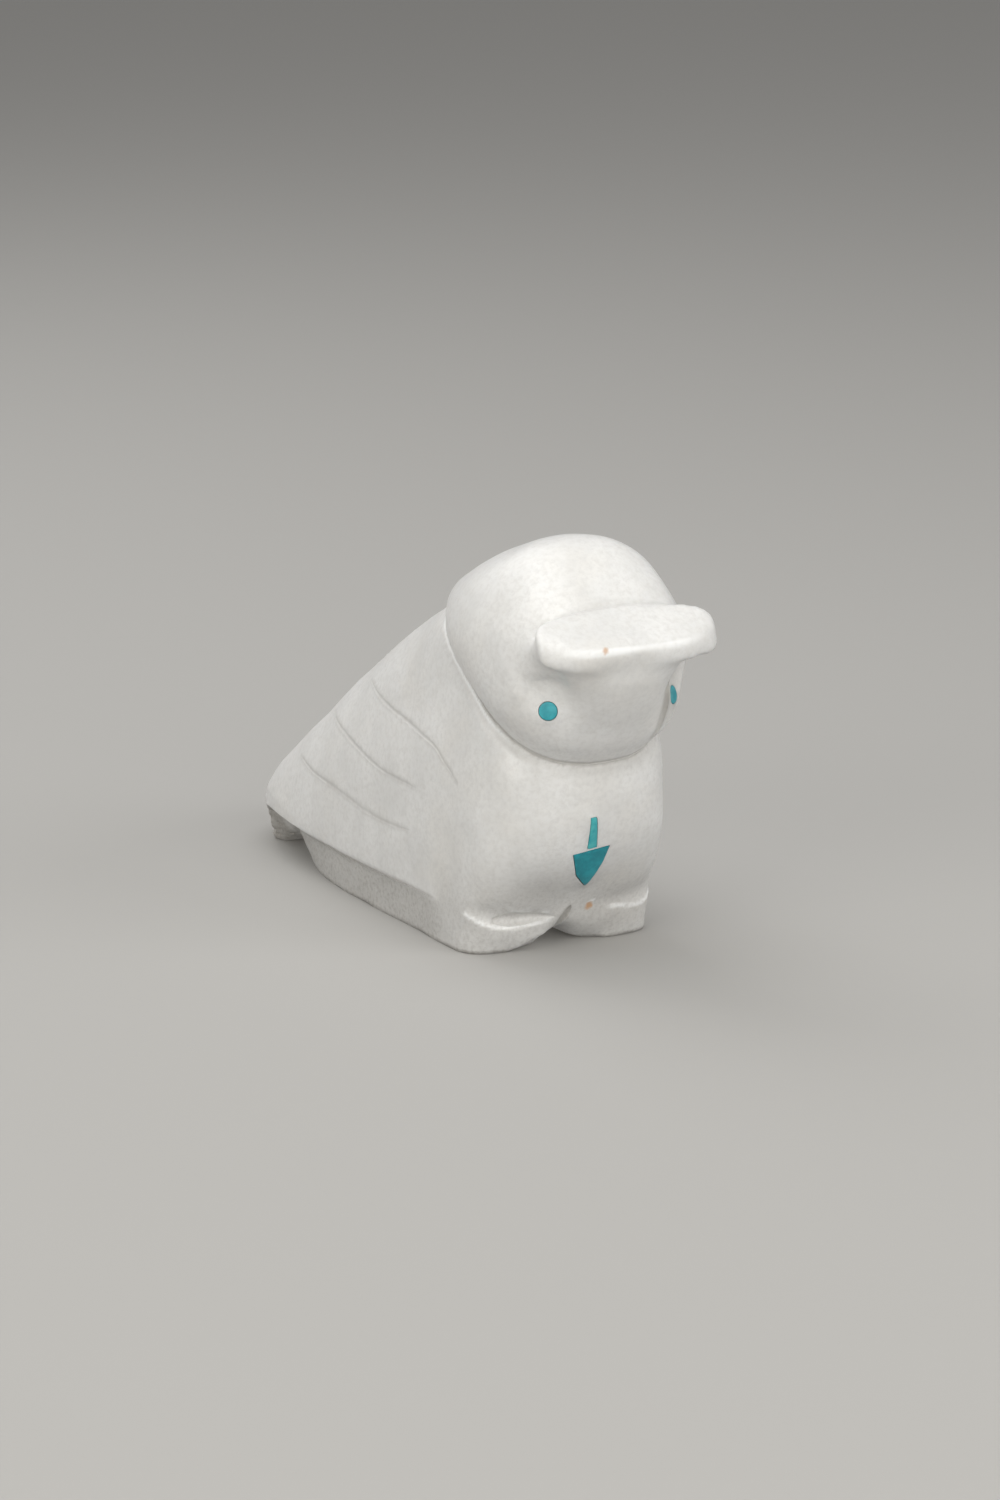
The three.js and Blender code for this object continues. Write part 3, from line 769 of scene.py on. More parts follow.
@dataclass(frozen=True)
class HandMark:
    """A place where the carver left a little more stone or took a little off, or where painted shade darkens the stone,
    soft all round.
    """

    where: Mark
    reach: Mark
    amount: float
    both_sides: bool = False

    def share(self, side: np.ndarray, ahead: np.ndarray, up: np.ndarray) -> np.ndarray:
        """How much of the amount each place gets, by its side, ahead and up in millimetres."""
        across = np.abs(side) if self.both_sides else side
        away = (np.stack([across, ahead, up], axis=1) - np.array(self.where)) / np.array(self.reach)
        return self.amount * np.exp(-2 * (away**2).sum(axis=1))


@dataclass(frozen=True)
class Wedge:
    """A plain block of stone with flat sides, given by its corners."""

    corners: tuple[Mark, ...]

    def build(self, marks: BirdMarks) -> Mesh:
        """The closed mesh drawn tight round the corners."""
        hull = bmesh.new()
        for corner in self.corners:
            hull.verts.new(marks.place(*corner))
        result = bmesh.ops.convex_hull(hull, input=hull.verts)
        spare = [part for part in result["geom_interior"] if isinstance(part, bmesh.types.BMVert)]
        bmesh.ops.delete(hull, geom=spare, context="VERTS")
        mesh = bpy.data.meshes.new("wedge")
        hull.to_mesh(mesh)
        hull.free()
        return facing_out(mesh)


@dataclass(frozen=True)
class BrowWeb:
    """The stone left under the brow, where the face runs up into it without a step.

    Each row is a side, with the ahead and up of the web's front edge and of its foot there, and how
    far its back rises above its front edge.
    """

    rows: tuple[tuple[float, ...], ...] = (
        (-6.8, 13.6, 32.1, 10.8, 30.0, 1.9),
        (-6.0, 14.3, 31.95, 11.4, 29.2, 1.9),
        (-5.0, 14.8, 31.9, 12.0, 28.2, 1.9),
        (-3.8, 14.9, 31.9, 12.2, 27.2, 1.9),
        (-2.0, 15.0, 31.9, 12.8, 27.0, 1.9),
        (0.5, 15.0, 31.9, 12.9, 27.0, 1.9),
        (3.0, 15.0, 31.9, 12.5, 26.8, 1.9),
        (4.2, 14.95, 31.9, 12.1, 26.8, 1.9),
        (5.3, 14.85, 31.9, 11.7, 27.6, 1.9),
        (6.2, 14.7, 31.9, 12.4, 29.2, 1.9),
        (7.0, 14.4, 32.0, 13.2, 30.6, 1.9),
        (7.8, 13.8, 32.2, 12.4, 30.9, 1.9),
        (8.6, 12.6, 32.8, 11.0, 31.3, 1.3),
        (9.3, 11.2, 33.4, 9.0, 31.9, 0.6),
    )
    depth_mm: float = 3.0
    back_mm: float = 0.8
    step_mm: float = 0.3

    def build(self, marks: BirdMarks) -> Mesh:
        """A closed mesh of the web, which reaches back into the head."""
        rings: list[list[Vector]] = []
        for side, ahead, up, foot_ahead, foot_up, rise in smooth_rows(np.array(self.rows), self.step_mm, False):
            foot_back = (foot_ahead - self.depth_mm, foot_up)
            back = (foot_ahead - self.back_mm, up + rise)
            ring = ((ahead, up), (foot_ahead, foot_up), foot_back, back)
            rings.append([marks.place(side, *spot) for spot in ring])
        return facing_out(lofted("brow_web", rings))


@dataclass(frozen=True)
class Inlay:
    """One piece of turquoise set in the stone."""

    node: str
    finish: TurquoiseFinish
    facing_of: str
    corner_ease_mm: float
    slip_mm: Pair = (0.0, 0.0)
    gap_mm: float = 0.07
    overlap_mm: float = 0.05
    proud_mm: float = 1.0
    edge_mm: float = 0.06
    edge_angle: float = 50.0
    smooth_angle: float = 35.0

    def facing(self) -> Vector:
        """The way the inlay faces, against the flat floor of its pocket."""
        mesh = bpy.context.scene.objects[self.facing_of].data
        sums: dict[tuple[float, float, float], float] = {}
        for face in mesh.polygons:
            key = tuple(round(c, 2) for c in face.normal)
            sums[key] = sums.get(key, 0.0) + face.area
        return -Vector(max(sums, key=sums.get)).normalized()

    def axes(self) -> tuple[Vector, Vector, Vector]:
        """Across, along and outwards on the inlay's face."""
        out = self.facing()
        across = Vector((0, 0, 1)).cross(out).normalized()
        return across, out.cross(across), out

    def outline(self) -> tuple[np.ndarray, np.ndarray]:
        """The inlay's outline across its facing, anticlockwise, and how deep and high it goes.

        Returns:
            Rows of across and along, and its lowest and highest place outwards.
        """
        across, along, out = self.axes()
        points = np.array([v.co for v in bpy.context.scene.objects[self.node].data.vertices])
        flat = np.stack([points @ np.array(across), points @ np.array(along)], axis=1)
        deep = points @ np.array(out)
        return convex_outline(flat), np.array([deep.min(), deep.max()])

    def plug(self, name: str, grown_mm: float, deeper_mm: float, proud_mm: float) -> Object:
        """The inlay as a straight plug.

        Args:
            name: The new object's name.
            grown_mm: How far its sides are moved out.
            deeper_mm: How far its floor is moved down.
            proud_mm: How far it stands above its own top.

        Returns:
            A closed mesh.
        """
        across, along, out = self.axes()
        ring, (low, high) = self.outline()
        ring = moved_out(eased_corners(ring, self.corner_ease_mm * MM), grown_mm * MM)
        if grown_mm > 0:
            ring = ring + np.array(self.slip_mm) * MM
        levels = (low - deeper_mm * MM, high + proud_mm * MM)
        mesh = lofted(name, [[across * x + along * y + out * level for x, y in ring] for level in levels])
        mesh.validate()
        return new_object(name, mesh)

    def pocket(self) -> Object:
        """What is cut out of the stone to take the inlay."""
        return self.plug("pocket", self.gap_mm, self.gap_mm, self.proud_mm)

    def filler(self) -> Object:
        """What closes the solid's own pocket while the stone is rubbed."""
        grown = 2 * self.gap_mm + self.overlap_mm
        return self.plug("filler", grown, grown, 0.0)

    def build(self, uncut: Object) -> Object:
        """The finished inlay, flush with the stone around it.

        Args:
            uncut: The stone before its pockets are cut.

        Returns:
            The inlay's object, dressed and riding with the bird.
        """
        piece = self.plug(f"{self.node}_cut", 0.0, 0.0, self.proud_mm)
        skin = new_object("skin", uncut.data.copy())
        carve(piece, skin, Cut.WITHIN)
        ease = piece.modifiers.new("ease", "BEVEL")
        ease.width = self.edge_mm * MM
        ease.segments = 2
        ease.limit_method = "ANGLE"
        ease.angle_limit = math.radians(self.edge_angle)
        settle(piece)
        piece.data.materials.clear()
        piece.data.materials.append(self.finish.material())
        piece.data.shade_smooth()
        piece.data.set_sharp_from_angle(angle=math.radians(self.smooth_angle))
        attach(piece, BODY)
        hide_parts(self.node)
        log.info("%s: %d faces", piece.name, len(piece.data.polygons))
        return piece


def convex_outline(points: np.ndarray) -> np.ndarray:
    """The corners round the outside of a set of flat points, anticlockwise."""
    ordered = sorted(map(tuple, np.round(points, 8)))

    def half(run: Sequence[Pair]) -> list[Pair]:
        """One side of the outline, without its last corner."""
        kept: list[Pair] = []
        for spot in run:
            while len(kept) > 1:
                (ax, ay), (bx, by) = kept[-2], kept[-1]
                if (bx - ax) * (spot[1] - ay) - (by - ay) * (spot[0] - ax) > 1e-12:
                    break
                kept.pop()
            kept.append(spot)
        return kept[:-1]

    return np.array(half(ordered) + half(ordered[::-1]))


def eased_corners(ring: np.ndarray, ease: float) -> np.ndarray:
    """An outline with each corner cut twice, never by more than a third of a side."""
    for _ in range(2):
        ahead = np.roll(ring, -1, axis=0)
        lengths = np.linalg.norm(ahead - ring, axis=1, keepdims=True)
        cut = np.minimum(ease, lengths / 3) / np.maximum(lengths, 1e-12)
        pair = np.stack([ring + (ahead - ring) * cut, ahead - (ahead - ring) * cut], axis=1)
        ring = pair.reshape(-1, 2)
        ease /= 2
    return ring


def moved_out(ring: np.ndarray, by: float) -> np.ndarray:
    """A convex outline with its sides moved outwards."""
    before = ring - np.roll(ring, 1, axis=0)
    after = np.roll(ring, -1, axis=0) - ring
    before /= np.linalg.norm(before, axis=1, keepdims=True)
    after /= np.linalg.norm(after, axis=1, keepdims=True)
    out = np.stack([before[:, 1] + after[:, 1], -before[:, 0] - after[:, 0]], axis=1)
    out /= np.linalg.norm(out, axis=1, keepdims=True)
    side = np.stack([after[:, 1], -after[:, 0]], axis=1)
    return ring + out * (by / np.sum(out * side, axis=1, keepdims=True))


@dataclass(frozen=True)
class SharpPlaces:
    """Places along a solid's sharp edges: its rims stand out and its creases lie in."""

    rims: np.ndarray
    creases: np.ndarray


@dataclass(frozen=True)
class Groove:
    """How one kind of line is engraved: its tool's radius, how far that stays raised, and the dust and painted shade
    that darken it.
    """

    radius_mm: float
    raised: float
    dust_and_shade: float
    dust_and_shade_reach: Fade = Fade(0.3, 0.05)


@dataclass
class CarvedStone:
    """The bird's stone: its solid copied fine, rubbed smooth, then engraved, scooped and pocketed."""

    marks: BirdMarks
    finish: StoneFinish
    inlays: list[Inlay]
    grain_mm: float = 0.31
    weld_mm: float = 0.002
    search_spare: float = 1.2
    line_step_mm: float = 0.2
    crisp_angle: float = 40.0
    crisp_grip: float = 0.05
    brow_grip: float = 0.3
    smooth_angle: float = 38.0
    near_sharp: Fade = Fade(0.2, 1.0)
    off_sharp: Fade = Fade(1.0, 3.0)
    wipe: Rubbing = Rubbing(5)
    sanding: Rubbing = Rubbing(120)
    long_sanding: Rubbing = Rubbing(320)
    lengthwise: Rubbing = Rubbing(220, lengthwise=True)
    feather: Groove = Groove(0.5, 0.9, 0.34)
    neck: Groove = Groove(0.16, 0.0, 0.85)
    hem: Groove = Groove(0.15, 0.1, 0.6)
    beak: Groove = Groove(0.55, 0.3, 0.7, Fade(0.5, 0.05))
    saw: Groove = Groove(0.5, 0.1, 0.5)
    brow: Groove = Groove(0.5, 0.85, 0.2, Fade(0.35, 0.05))
    on_brow: Zone = Zone((Fade(7.5, 9.5),), (Fade(28.6, 29.8),))
    on_wing: Zone = Zone((Fade(3.0, -2.0),), (Fade(5.0, 8.0),))
    on_side: Zone = Zone((Fade(-2.5, -4.5), Fade(-52.0, -50.0)), (Fade(0.1, 0.4),))
    low_on_side: Fade = Fade(10.0, 7.5)
    out_on_side: Fade = Fade(4.0, 6.5)
    below_neck: Fade = Fade(-1.5, -4.0)
    swells: tuple[Waves, ...] = (Waves(9.0, 11, 0.06), Waves(4.0, 23, 0.018))
    tooth: tuple[Waves, ...] = (Waves(1.3, 37, 0.03), Waves(0.7, 41, 0.02))
    hand_worked: Fade = Fade(0.6, 2.5)
    roughened: Fade = Fade(0.15, 0.6)
    ground: tuple[Zone, ...] = (
        Zone((Fade(-4.0, -8.5),), (Fade(4.6, 3.9),), 0.68),
        # the feet: left ground, and darkened as painted shade
        Zone((Fade(-8.5, -4.0),), (Fade(10.5, 4.5),), 0.36),
        Zone((), (Fade(0.5, 0.1),)),
        Zone((Fade(-52.2, -53.2),)),
        Zone((Fade(-46.0, -47.0),), (Fade(4.6, 3.9),), 0.3),
    )
    near_mm: float = 0.8
    in_crease: Fade = Fade(0.6, 0.1)
    toe_crease_shade: Zone = Zone((Fade(-6.0, -2.0),), (Fade(7.0, 6.0),), 0.3)
    # dust on the rough tail end, and painted shade on the stub's tucked side
    tail_dust_and_shade: tuple[Zone, ...] = (
        Zone((Fade(-52.2, -53.2),), (), 0.6),
        Zone((Fade(-46.0, -47.0),), (Fade(4.6, 3.9),), 0.5),
    )
    # where the painted highlight lies along the toe rims and the brow's front rim
    on_rim: Fade = Fade(0.34, 0.08)
    toe_rim_highlight: Zone = Zone((Fade(-3.0, -1.0),), (Fade(6.5, 5.5), Fade(2.0, 3.0)))
    brow_rim_highlight: Zone = Zone((), (Fade(32.0, 33.0),), 0.8)
    brow_middle: float = 1.0
    from_brow_middle: Fade = Fade(8.5, 5.0)
    below_ring: Fade = Fade(0.0, -0.2)
    # painted highlight on the thin lip beside the neck ring, and painted shade below it, with some dirt under the chin
    neck_lip_highlight: Band = Band((Fade(0.12, 0.28), Fade(0.6, 0.36)))
    neck_shade: Band = Band((Fade(1.4, 0.5), Fade(0.3, 0.6)), 0.14)
    chin_shade: Band = Band((Fade(2.6, 0.2),), 0.34)
    under_chin: Fade = Fade(1.0, 5.5)
    brow_web: BrowWeb = BrowWeb()
    hand_marks: tuple[HandMark, ...] = (
        HandMark((8.8, 4.3, 19.4), (4.0, 4.0, 4.0), 0.35, both_sides=True),
        HandMark((1.0, 15.3, 31.4), (7.0, 2.0, 2.0), -0.5),
        HandMark((-7.2, 10.5, 27.5), (2.4, 3.5, 4.8), -0.35),
        HandMark((-9.4, 8.5, 28.5), (2.2, 3.5, 5.0), -0.6),
        HandMark((-9.6, 12.8, 31.6), (2.2, 2.6, 1.6), 0.5),
        HandMark((7.8, 10.0, 30.8), (2.4, 2.6, 1.8), 0.45),
    )
    notch_fill: Wedge = Wedge(
        (
            (0.2, 1.6, 3.9),
            (-1.5, 1.6, 4.2),
            (-4.0, 1.4, 3.5),
            (-0.4, 1.6, 2.4),
            (-4.0, 1.5, 2.3),
            (-1.45, -0.6, 0.0),
            (-4.0, -0.8, 0.0),
            (-1.0, -9.0, 0.0),
            (-4.0, -9.0, 0.0),
            (-0.6, -9.0, 1.2),
        )
    )
    # painted shade: darkens the eye hollow, the low breast above the feet, the feet and the face below the brow
    painted_shade_marks: tuple[HandMark, ...] = (
        HandMark((-7.4, 11.0, 28.5), (1.9, 3.5, 6.0), 0.7),
        HandMark((0.0, 3.2, 9.2), (8.0, 4.0, 3.6), 0.24, both_sides=True),
        HandMark((5.0, 3.5, 7.2), (4.5, 4.0, 2.8), 0.24),
        HandMark((-6.0, 3.5, 3.0), (4.0, 3.0, 2.6), 0.16),
        HandMark((-4.5, 1.8, 2.6), (4.5, 3.0, 3.4), 0.4),
        HandMark((3.5, 12.0, 26.5), (3.0, 4.0, 5.0), 0.1),
    )
    brow_end: Mark = (9.8, 9.8, 32.8)
    brow_end_sanded: Fade = Fade(3.6, 1.5)
    brow_end_grip: float = 0.8
    beak_edge: tuple[Mark, ...] = (
        (-5.6, 12.6, 31.0),
        (-5.9, 12.0, 29.0),
        (-6.0, 11.3, 26.5),
        (-5.7, 10.3, 24.3),
        (-5.0, 9.2, 22.6),
    )
    brow_line: tuple[Pair, ...] = ((6.4, 9.9), (4.0, 9.9), (1.0, 10.0), (-2.5, 10.0), (-5.8, 9.9))
    saw_line: tuple[Pair, ...] = ((0.2, 4.5), (0.45, 3.7), (0.8, 2.7), (1.2, 1.7), (1.5, 0.9))
    hem_line: tuple[Pair, ...] = ((-51.0, 4.2), (-40.0, 4.2), (-24.0, 4.2), (-7.0, 4.5))
    clear_mm: float = 30.0
    beak_clear_mm: float = 4.0
    brow_angle: float = 15.0
    brow_rim: Block = Block(ahead=(13.6, math.inf), up=(32.6, math.inf))
    softened: tuple[Block, ...] = (
        Block(ahead=(7.5, 14.3), up=(28.6, math.inf)),
        Block(ahead=(7.5, math.inf), up=(28.6, 32.2)),
        Block((6.8, math.inf), (-3.0, math.inf), (4.25, 7.0)),
        Block((-math.inf, -2.5), (-3.0, math.inf), (4.25, 7.0)),
        Block((-4.5, 2.5), (-12.0, 2.5), (0.35, 4.3)),
    )
    line_reach_mm: float = 1.0
    nape: Pair = (-13.3, 33.4)
    chin: Pair = (8.2, 20.4)
    ring_parts: int = 72
    ring_near_mm: float = 0.15
    ring_clear_mm: float = 2.5
    ring_raised_mm: float = 0.1
    specks: tuple[Speck, ...] = (
        Speck((3.73, 14.98, 33.4), 0.45, 0.75),
        Speck((-1.93, 2.0, 4.15), 0.6, 0.9),
        Speck((1.78, 7.44, 14.01), 0.22, 0.55, dark=True),
    )
    feather_lines: tuple[tuple[Pair, ...], ...] = (
        ((-39.5, 11.8), (-34.4, 11.2), (-27.2, 10.8), (-21.6, 10.1), (-16.3, 10.0), (-12.0, 10.3)),
        ((-34.2, 17.6), (-28.2, 16.7), (-22.6, 15.7), (-17.5, 15.1), (-11.0, 14.9)),
        ((-26.3, 22.5), (-18.0, 21.4), (-12.7, 20.7), (-7.9, 20.0), (-5.5, 18.8), (-2.5, 17.2)),
    )
    shoulder_fold: tuple[Pair, ...] = ((-2.5, 17.2), (-0.6, 15.6), (0.6, 12.9), (1.2, 11.0))
    toe_file: ToeFile = ToeFile(
        ((1.5, 3.35, 0.15), (3.2, 3.5, 0.5), (5.5, 3.55, 0.75), (7.0, 3.62, 0.72), (8.4, 3.65, 0.3))
    )

    def build(self) -> tuple[Object, Object]:
        """Makes the stone.

        Returns:
            The finished stone, and a copy of it from before its pockets were cut.
        """
        finish = self.finish.material(self.marks, self.specks)
        sharp = self._sharp_places()
        stone = self._fine_copy()
        self._rub(stone, sharp)
        self._hand_work(stone)
        stone.data.materials.clear()
        stone.data.materials.append(finish)
        scoop = self.toe_file.cutter(self.marks, bpy.context.scene.objects[STONE_NODE])
        scoop.data.materials.append(finish)
        carve(stone, scoop, Cut.AWAY)
        engraved: list[tuple[Groove, np.ndarray]] = []
        for groove, lines in self._engraving(sharp.creases):
            tool = EngravingTool(lines, self.marks, groove.raised).cutter(stone, finish)
            engraved.append((groove, mesh_arrays(tool.data)[0]))
            carve(stone, tool, Cut.AWAY)
        uncut = new_object("uncut", stone.data.copy())
        for inlay in self.inlays:
            pocket = inlay.pocket()
            pocket.data.materials.append(finish)
            carve(stone, pocket, Cut.AWAY)
        self._mark_ground_shade_and_highlights(stone, sharp, engraved)
        self._dress(stone)
        return stone, uncut

    def _sharp_places(self) -> SharpPlaces:
        """Where the carver left the stone sharp, apart from softened places and the feather lines, cut later.

        Returns:
            Rows of x, y and z in metres.
        """
        merged = bmesh.new()
        merged.from_mesh(bpy.context.scene.objects[STONE_NODE].data)
        bmesh.ops.remove_doubles(merged, verts=merged.verts, dist=self.weld_mm * MM)
        found: dict[bool, list[Vector]] = {True: [], False: []}
        for edge in merged.edges:
            start, end = (v.co for v in edge.verts)
            bend = math.degrees(edge.calc_face_angle(0.0)) if len(edge.link_faces) == 2 else 0.0
            ends = self.marks.read(np.array((start, end)))
            on_rim = edge.is_convex and self.brow_rim.holds(*ends).all()
            if bend > (self.brow_angle if on_rim else self.crisp_angle):
                steps = max(int(edge.calc_length() / (self.line_step_mm * MM)), 1)
                found[edge.is_convex] += [start.lerp(end, i / steps) for i in range(steps + 1)]
        merged.free()
        lines = [
            smooth_rows(np.array([(0.0, *spot) for spot in line]), self.line_step_mm, False)
            for line in (*self.feather_lines, self.shoulder_fold)
        ]
        kept = []
        for places in (np.array(found[True]), np.array(found[False])):
            side, ahead, up = self.marks.read(places)
            flat = np.stack([np.zeros(len(ahead)), ahead, up], axis=1)
            reach = self.line_reach_mm
            left_out = nearest_distance(flat, np.vstack(lines), reach * self.search_spare) < reach
            for block in self.softened:
                left_out |= block.holds(side, ahead, up)
            kept.append(places[~left_out])
        return SharpPlaces(*kept)

    def _fine_copy(self) -> Object:
        """A fine-grained copy of the stone, with its pockets filled."""
        joined = bmesh.new()
        joined.from_mesh(bpy.context.scene.objects[STONE_NODE].data)
        for extra in (self.brow_web, self.notch_fill):
            joined.from_mesh(extra.build(self.marks))
        for inlay in self.inlays:
            filler = inlay.filler()
            joined.from_mesh(filler.data)
            discard(filler)
        bmesh.ops.remove_doubles(joined, verts=joined.verts, dist=self.weld_mm * MM)
        mesh = bpy.data.meshes.new("carved_stone")
        joined.to_mesh(mesh)
        joined.free()
        stone = new_object("carved_stone", mesh)
        grain = stone.modifiers.new("grain", "REMESH")
        grain.mode = "VOXEL"
        grain.voxel_size = self.grain_mm * MM
        settle(stone)
        return stone

    def _rub(self, stone: Object, sharp: SharpPlaces) -> None:
        """Wipes the whole stone, sands it away from its sharp places, and sands the wings and sides longer."""
        self.wipe.apply(stone.data, np.ones(len(stone.data.vertices)))
        points, _, _ = mesh_arrays(stone.data)
        edges = np.vstack([sharp.rims, sharp.creases])
        away = nearest_distance(points, edges, self.off_sharp.full * MM) / MM
        _, ahead, up = self.marks.read(points)
        most = 1 - (1 - self.brow_grip) * self.on_brow.share(ahead, up)
        self.sanding.apply(stone.data, self.crisp_grip + (most - self.crisp_grip) * self.near_sharp(away))
        on_wing = self.on_wing.share(ahead, up) * self.below_neck(self._rise(ahead, up))
        self.long_sanding.apply(stone.data, on_wing * self.off_sharp(away))
        points, _, _ = mesh_arrays(stone.data)
        side, ahead, up = self.marks.read(points)
        on_side = self.on_side.share(ahead, up)
        on_side *= np.maximum(self.low_on_side(up), self.out_on_side(np.abs(side)))
        self.lengthwise.apply(stone.data, on_side * self.below_neck(self._rise(ahead, up)))
        away = np.linalg.norm(points - np.array(self.marks.place(*self.brow_end)), axis=1) / MM
        self.long_sanding.apply(stone.data, self.brow_end_grip * self.brow_end_sanded(away))

    def _rise(self, ahead: np.ndarray, up: np.ndarray) -> np.ndarray:
        """How far places lie above the plane of the neck, in millimetres."""
        _, above = self._neck_ways()
        return (ahead - self.nape[0]) * above[1] + (up - self.nape[1]) * above[2]

    def _neck_ways(self) -> tuple[np.ndarray, np.ndarray]:
        """The way forward along the plane of the neck, and the way square up from it."""
        run, fall = self.chin[0] - self.nape[0], self.nape[1] - self.chin[1]
        return np.array([0.0, run, -fall]) / math.hypot(run, fall), np.array([0.0, fall, run]) / math.hypot(run, fall)

    def _hand_work(self, stone: Object) -> None:
        """The small unevenness of hand work, and the rough ground base and tail end."""
        points, normals, _ = mesh_arrays(stone.data)
        side, ahead, up = self.marks.read(points)
        swell = sum(waves.lift(points / MM) for waves in self.swells)
        swell += sum(mark.share(side, ahead, up) for mark in self.hand_marks)
        rough = sum(waves.lift(points / MM) for waves in self.tooth)
        lift = swell * self.hand_worked(up) + rough * self._ground(points) * self.roughened(up)
        move_points(stone.data, points + normals * (lift * MM)[:, None])

    def _ground(self, points: np.ndarray) -> np.ndarray:
        """How far each place was left as it was ground, which also darkens it: the sole and the tail's end most, the
        feet least, where the darkening also stands in for shade.
        """
        _, ahead, up = self.marks.read(points)
        return np.clip(sum(zone.share(ahead, up) for zone in self.ground), 0, 1)

    def _engraving(self, creases: np.ndarray) -> list[tuple[Groove, list[EngravedLine]]]:
        """The lines to engrave, kind by kind.

        The feathers and hems of both wings are cut in from the side. The others are the neck ring, the cut
        beside the beak, the saw line between the feet and the faint line behind the brow.

        Args:
            creases: Places along the solid's inner corners.

        Returns:
            Each kind of line with its lines, in the order of cutting.
        """
        off = self.beak_clear_mm
        beside_beak = [(side - off, ahead + off, up) for side, ahead, up in self.beak_edge]
        between_feet = [(side, self.clear_mm, up) for side, up in self.saw_line]
        behind_brow = [(side, ahead, 2 * self.clear_mm) for side, ahead in self.brow_line]
        return [
            (self.feather, [self._from_side(line, side, self.feather) for line in self.feather_lines for side in Side]),
            (self.neck, [self._neck_ring(creases)]),
            (self.hem, [self._from_side(self.hem_line, side, self.hem) for side in Side]),
            (self.beak, [EngravedLine.straight(beside_beak, (1.0, -1.0, 0.0), self.beak.radius_mm)]),
            (self.saw, [EngravedLine.straight(between_feet, (0.0, -1.0, 0.0), self.saw.radius_mm)]),
            (self.brow, [EngravedLine.straight(behind_brow, (0.0, 0.0, -1.0), self.brow.radius_mm)]),
        ]

    def _from_side(self, line: Sequence[Pair], side: Side, groove: Groove) -> EngravedLine:
        """A line of places ahead and up, cut straight in from one side."""
        course = [(side.value * self.clear_mm, ahead, up) for ahead, up in line]
        return EngravedLine.straight(course, (-side.value, 0.0, 0.0), groove.radius_mm)

    def _neck_ring(self, creases: np.ndarray) -> EngravedLine:
        """The crease around the head's foot, read off the solid's own inner corner there."""
        side, ahead, up = self.marks.read(creases)
        near = np.abs(self._rise(ahead, up)) < self.ring_near_mm
        places = np.stack([side, ahead, up], axis=1)[near]
        forward, above = self._neck_ways()
        centre = (places.min(axis=0) + places.max(axis=0)) / 2
        out = places - centre
        turn = np.arctan2(out[:, 0], out @ forward)
        course, aims = [], []
        for i in range(self.ring_parts):
            middle = 2 * math.pi * i / self.ring_parts - math.pi
            here = np.abs((turn - middle + math.pi) % (2 * math.pi) - math.pi) < 2 * math.pi / self.ring_parts
            if here.any():
                reach = np.linalg.norm(out[here], axis=1).mean() + self.ring_clear_mm
                way = forward * math.cos(middle) + np.array([1.0, 0.0, 0.0]) * math.sin(middle)
                course.append(centre + way * reach + above * self.ring_raised_mm)
                aims.append(-way)
        return EngravedLine(np.array(course), np.array(aims), self.neck.radius_mm, closed=True)

    def _mark_ground_shade_and_highlights(self, stone: Object, sharp: SharpPlaces, engraved: list[tuple[Groove, np.ndarray]]) -> None:
        """Marks where the stone is ground, where dust and painted shade darken its lines, creases and hollows, and
        where a painted highlight lightens its rims.

        Args:
            stone: The stone, cut and pocketed.
            sharp: Its sharp places.
            engraved: Each kind of engraved line, with places along its lines.
        """
        points, _, _ = mesh_arrays(stone.data)
        side, ahead, up = self.marks.read(points)
        dust_and_shade = np.zeros(len(points))
        # each engraved line is darkened with dust and painted shade
        for groove, places in engraved:
            away = nearest_distance(points, places, groove.dust_and_shade_reach.start * self.search_spare * MM) / MM
            dust_and_shade = np.maximum(dust_and_shade, groove.dust_and_shade * groove.dust_and_shade_reach(away))
        # painted shade in the creases by the toes
        away = nearest_distance(points, sharp.creases, self.near_mm * MM) / MM
        dust_and_shade = np.maximum(dust_and_shade, self.in_crease(away) * self.toe_crease_shade.share(ahead, up))
        away = nearest_distance(points, sharp.rims, self.near_mm * MM) / MM
        # painted highlight along the brow's front rim and the toe rims
        on_brow = self.brow_rim_highlight.share(ahead, up) * self.from_brow_middle(np.abs(side - self.brow_middle))
        painted_highlight = self.on_rim(away) * np.maximum(self.toe_rim_highlight.share(ahead, up), on_brow)
        shade, lip_highlight = self._neck_shade_and_highlight(points, next(places for groove, places in engraved if groove is self.neck))
        painted_highlight = np.maximum(painted_highlight, lip_highlight)
        for more in (shade, *(zone.share(ahead, up) for zone in self.tail_dust_and_shade)):
            dust_and_shade = np.maximum(dust_and_shade, more)
        # painted shade in the eye hollow, the low breast, the feet and the face
        dust_and_shade = np.clip(dust_and_shade + sum(mark.share(side, ahead, up) for mark in self.painted_shade_marks), 0, 1)
        for name, values in (("ground", self._ground(points)), ("dust_and_shade", dust_and_shade), ("painted_highlight", painted_highlight)):
            attribute = stone.data.attributes.new(name, "FLOAT", "POINT")
            attribute.data.foreach_set("value", values.astype(np.float32))

    def _neck_shade_and_highlight(self, points: np.ndarray, ring: np.ndarray) -> tuple[np.ndarray, np.ndarray]:
        """The painted shade on the body below the neck ring, strongest under the chin where it also stands for dirt,
        and the thin painted highlight beside the ring.

        Args:
            points: The stone's points.
            ring: Places along the neck ring.

        Returns:
            The painted shade and the painted highlight at each point.
        """
        _, ahead, up = self.marks.read(points)
        away = nearest_distance(points, ring, self.chin_shade.fades[0].start * MM) / MM
        below = self.below_ring(self._rise(ahead, up))
        under_chin = self.under_chin(ahead)
        shade = self.neck_shade.share(away) + self.chin_shade.share(away) * under_chin
        return shade * below, self.neck_lip_highlight.share(away) * (1 - under_chin) * below

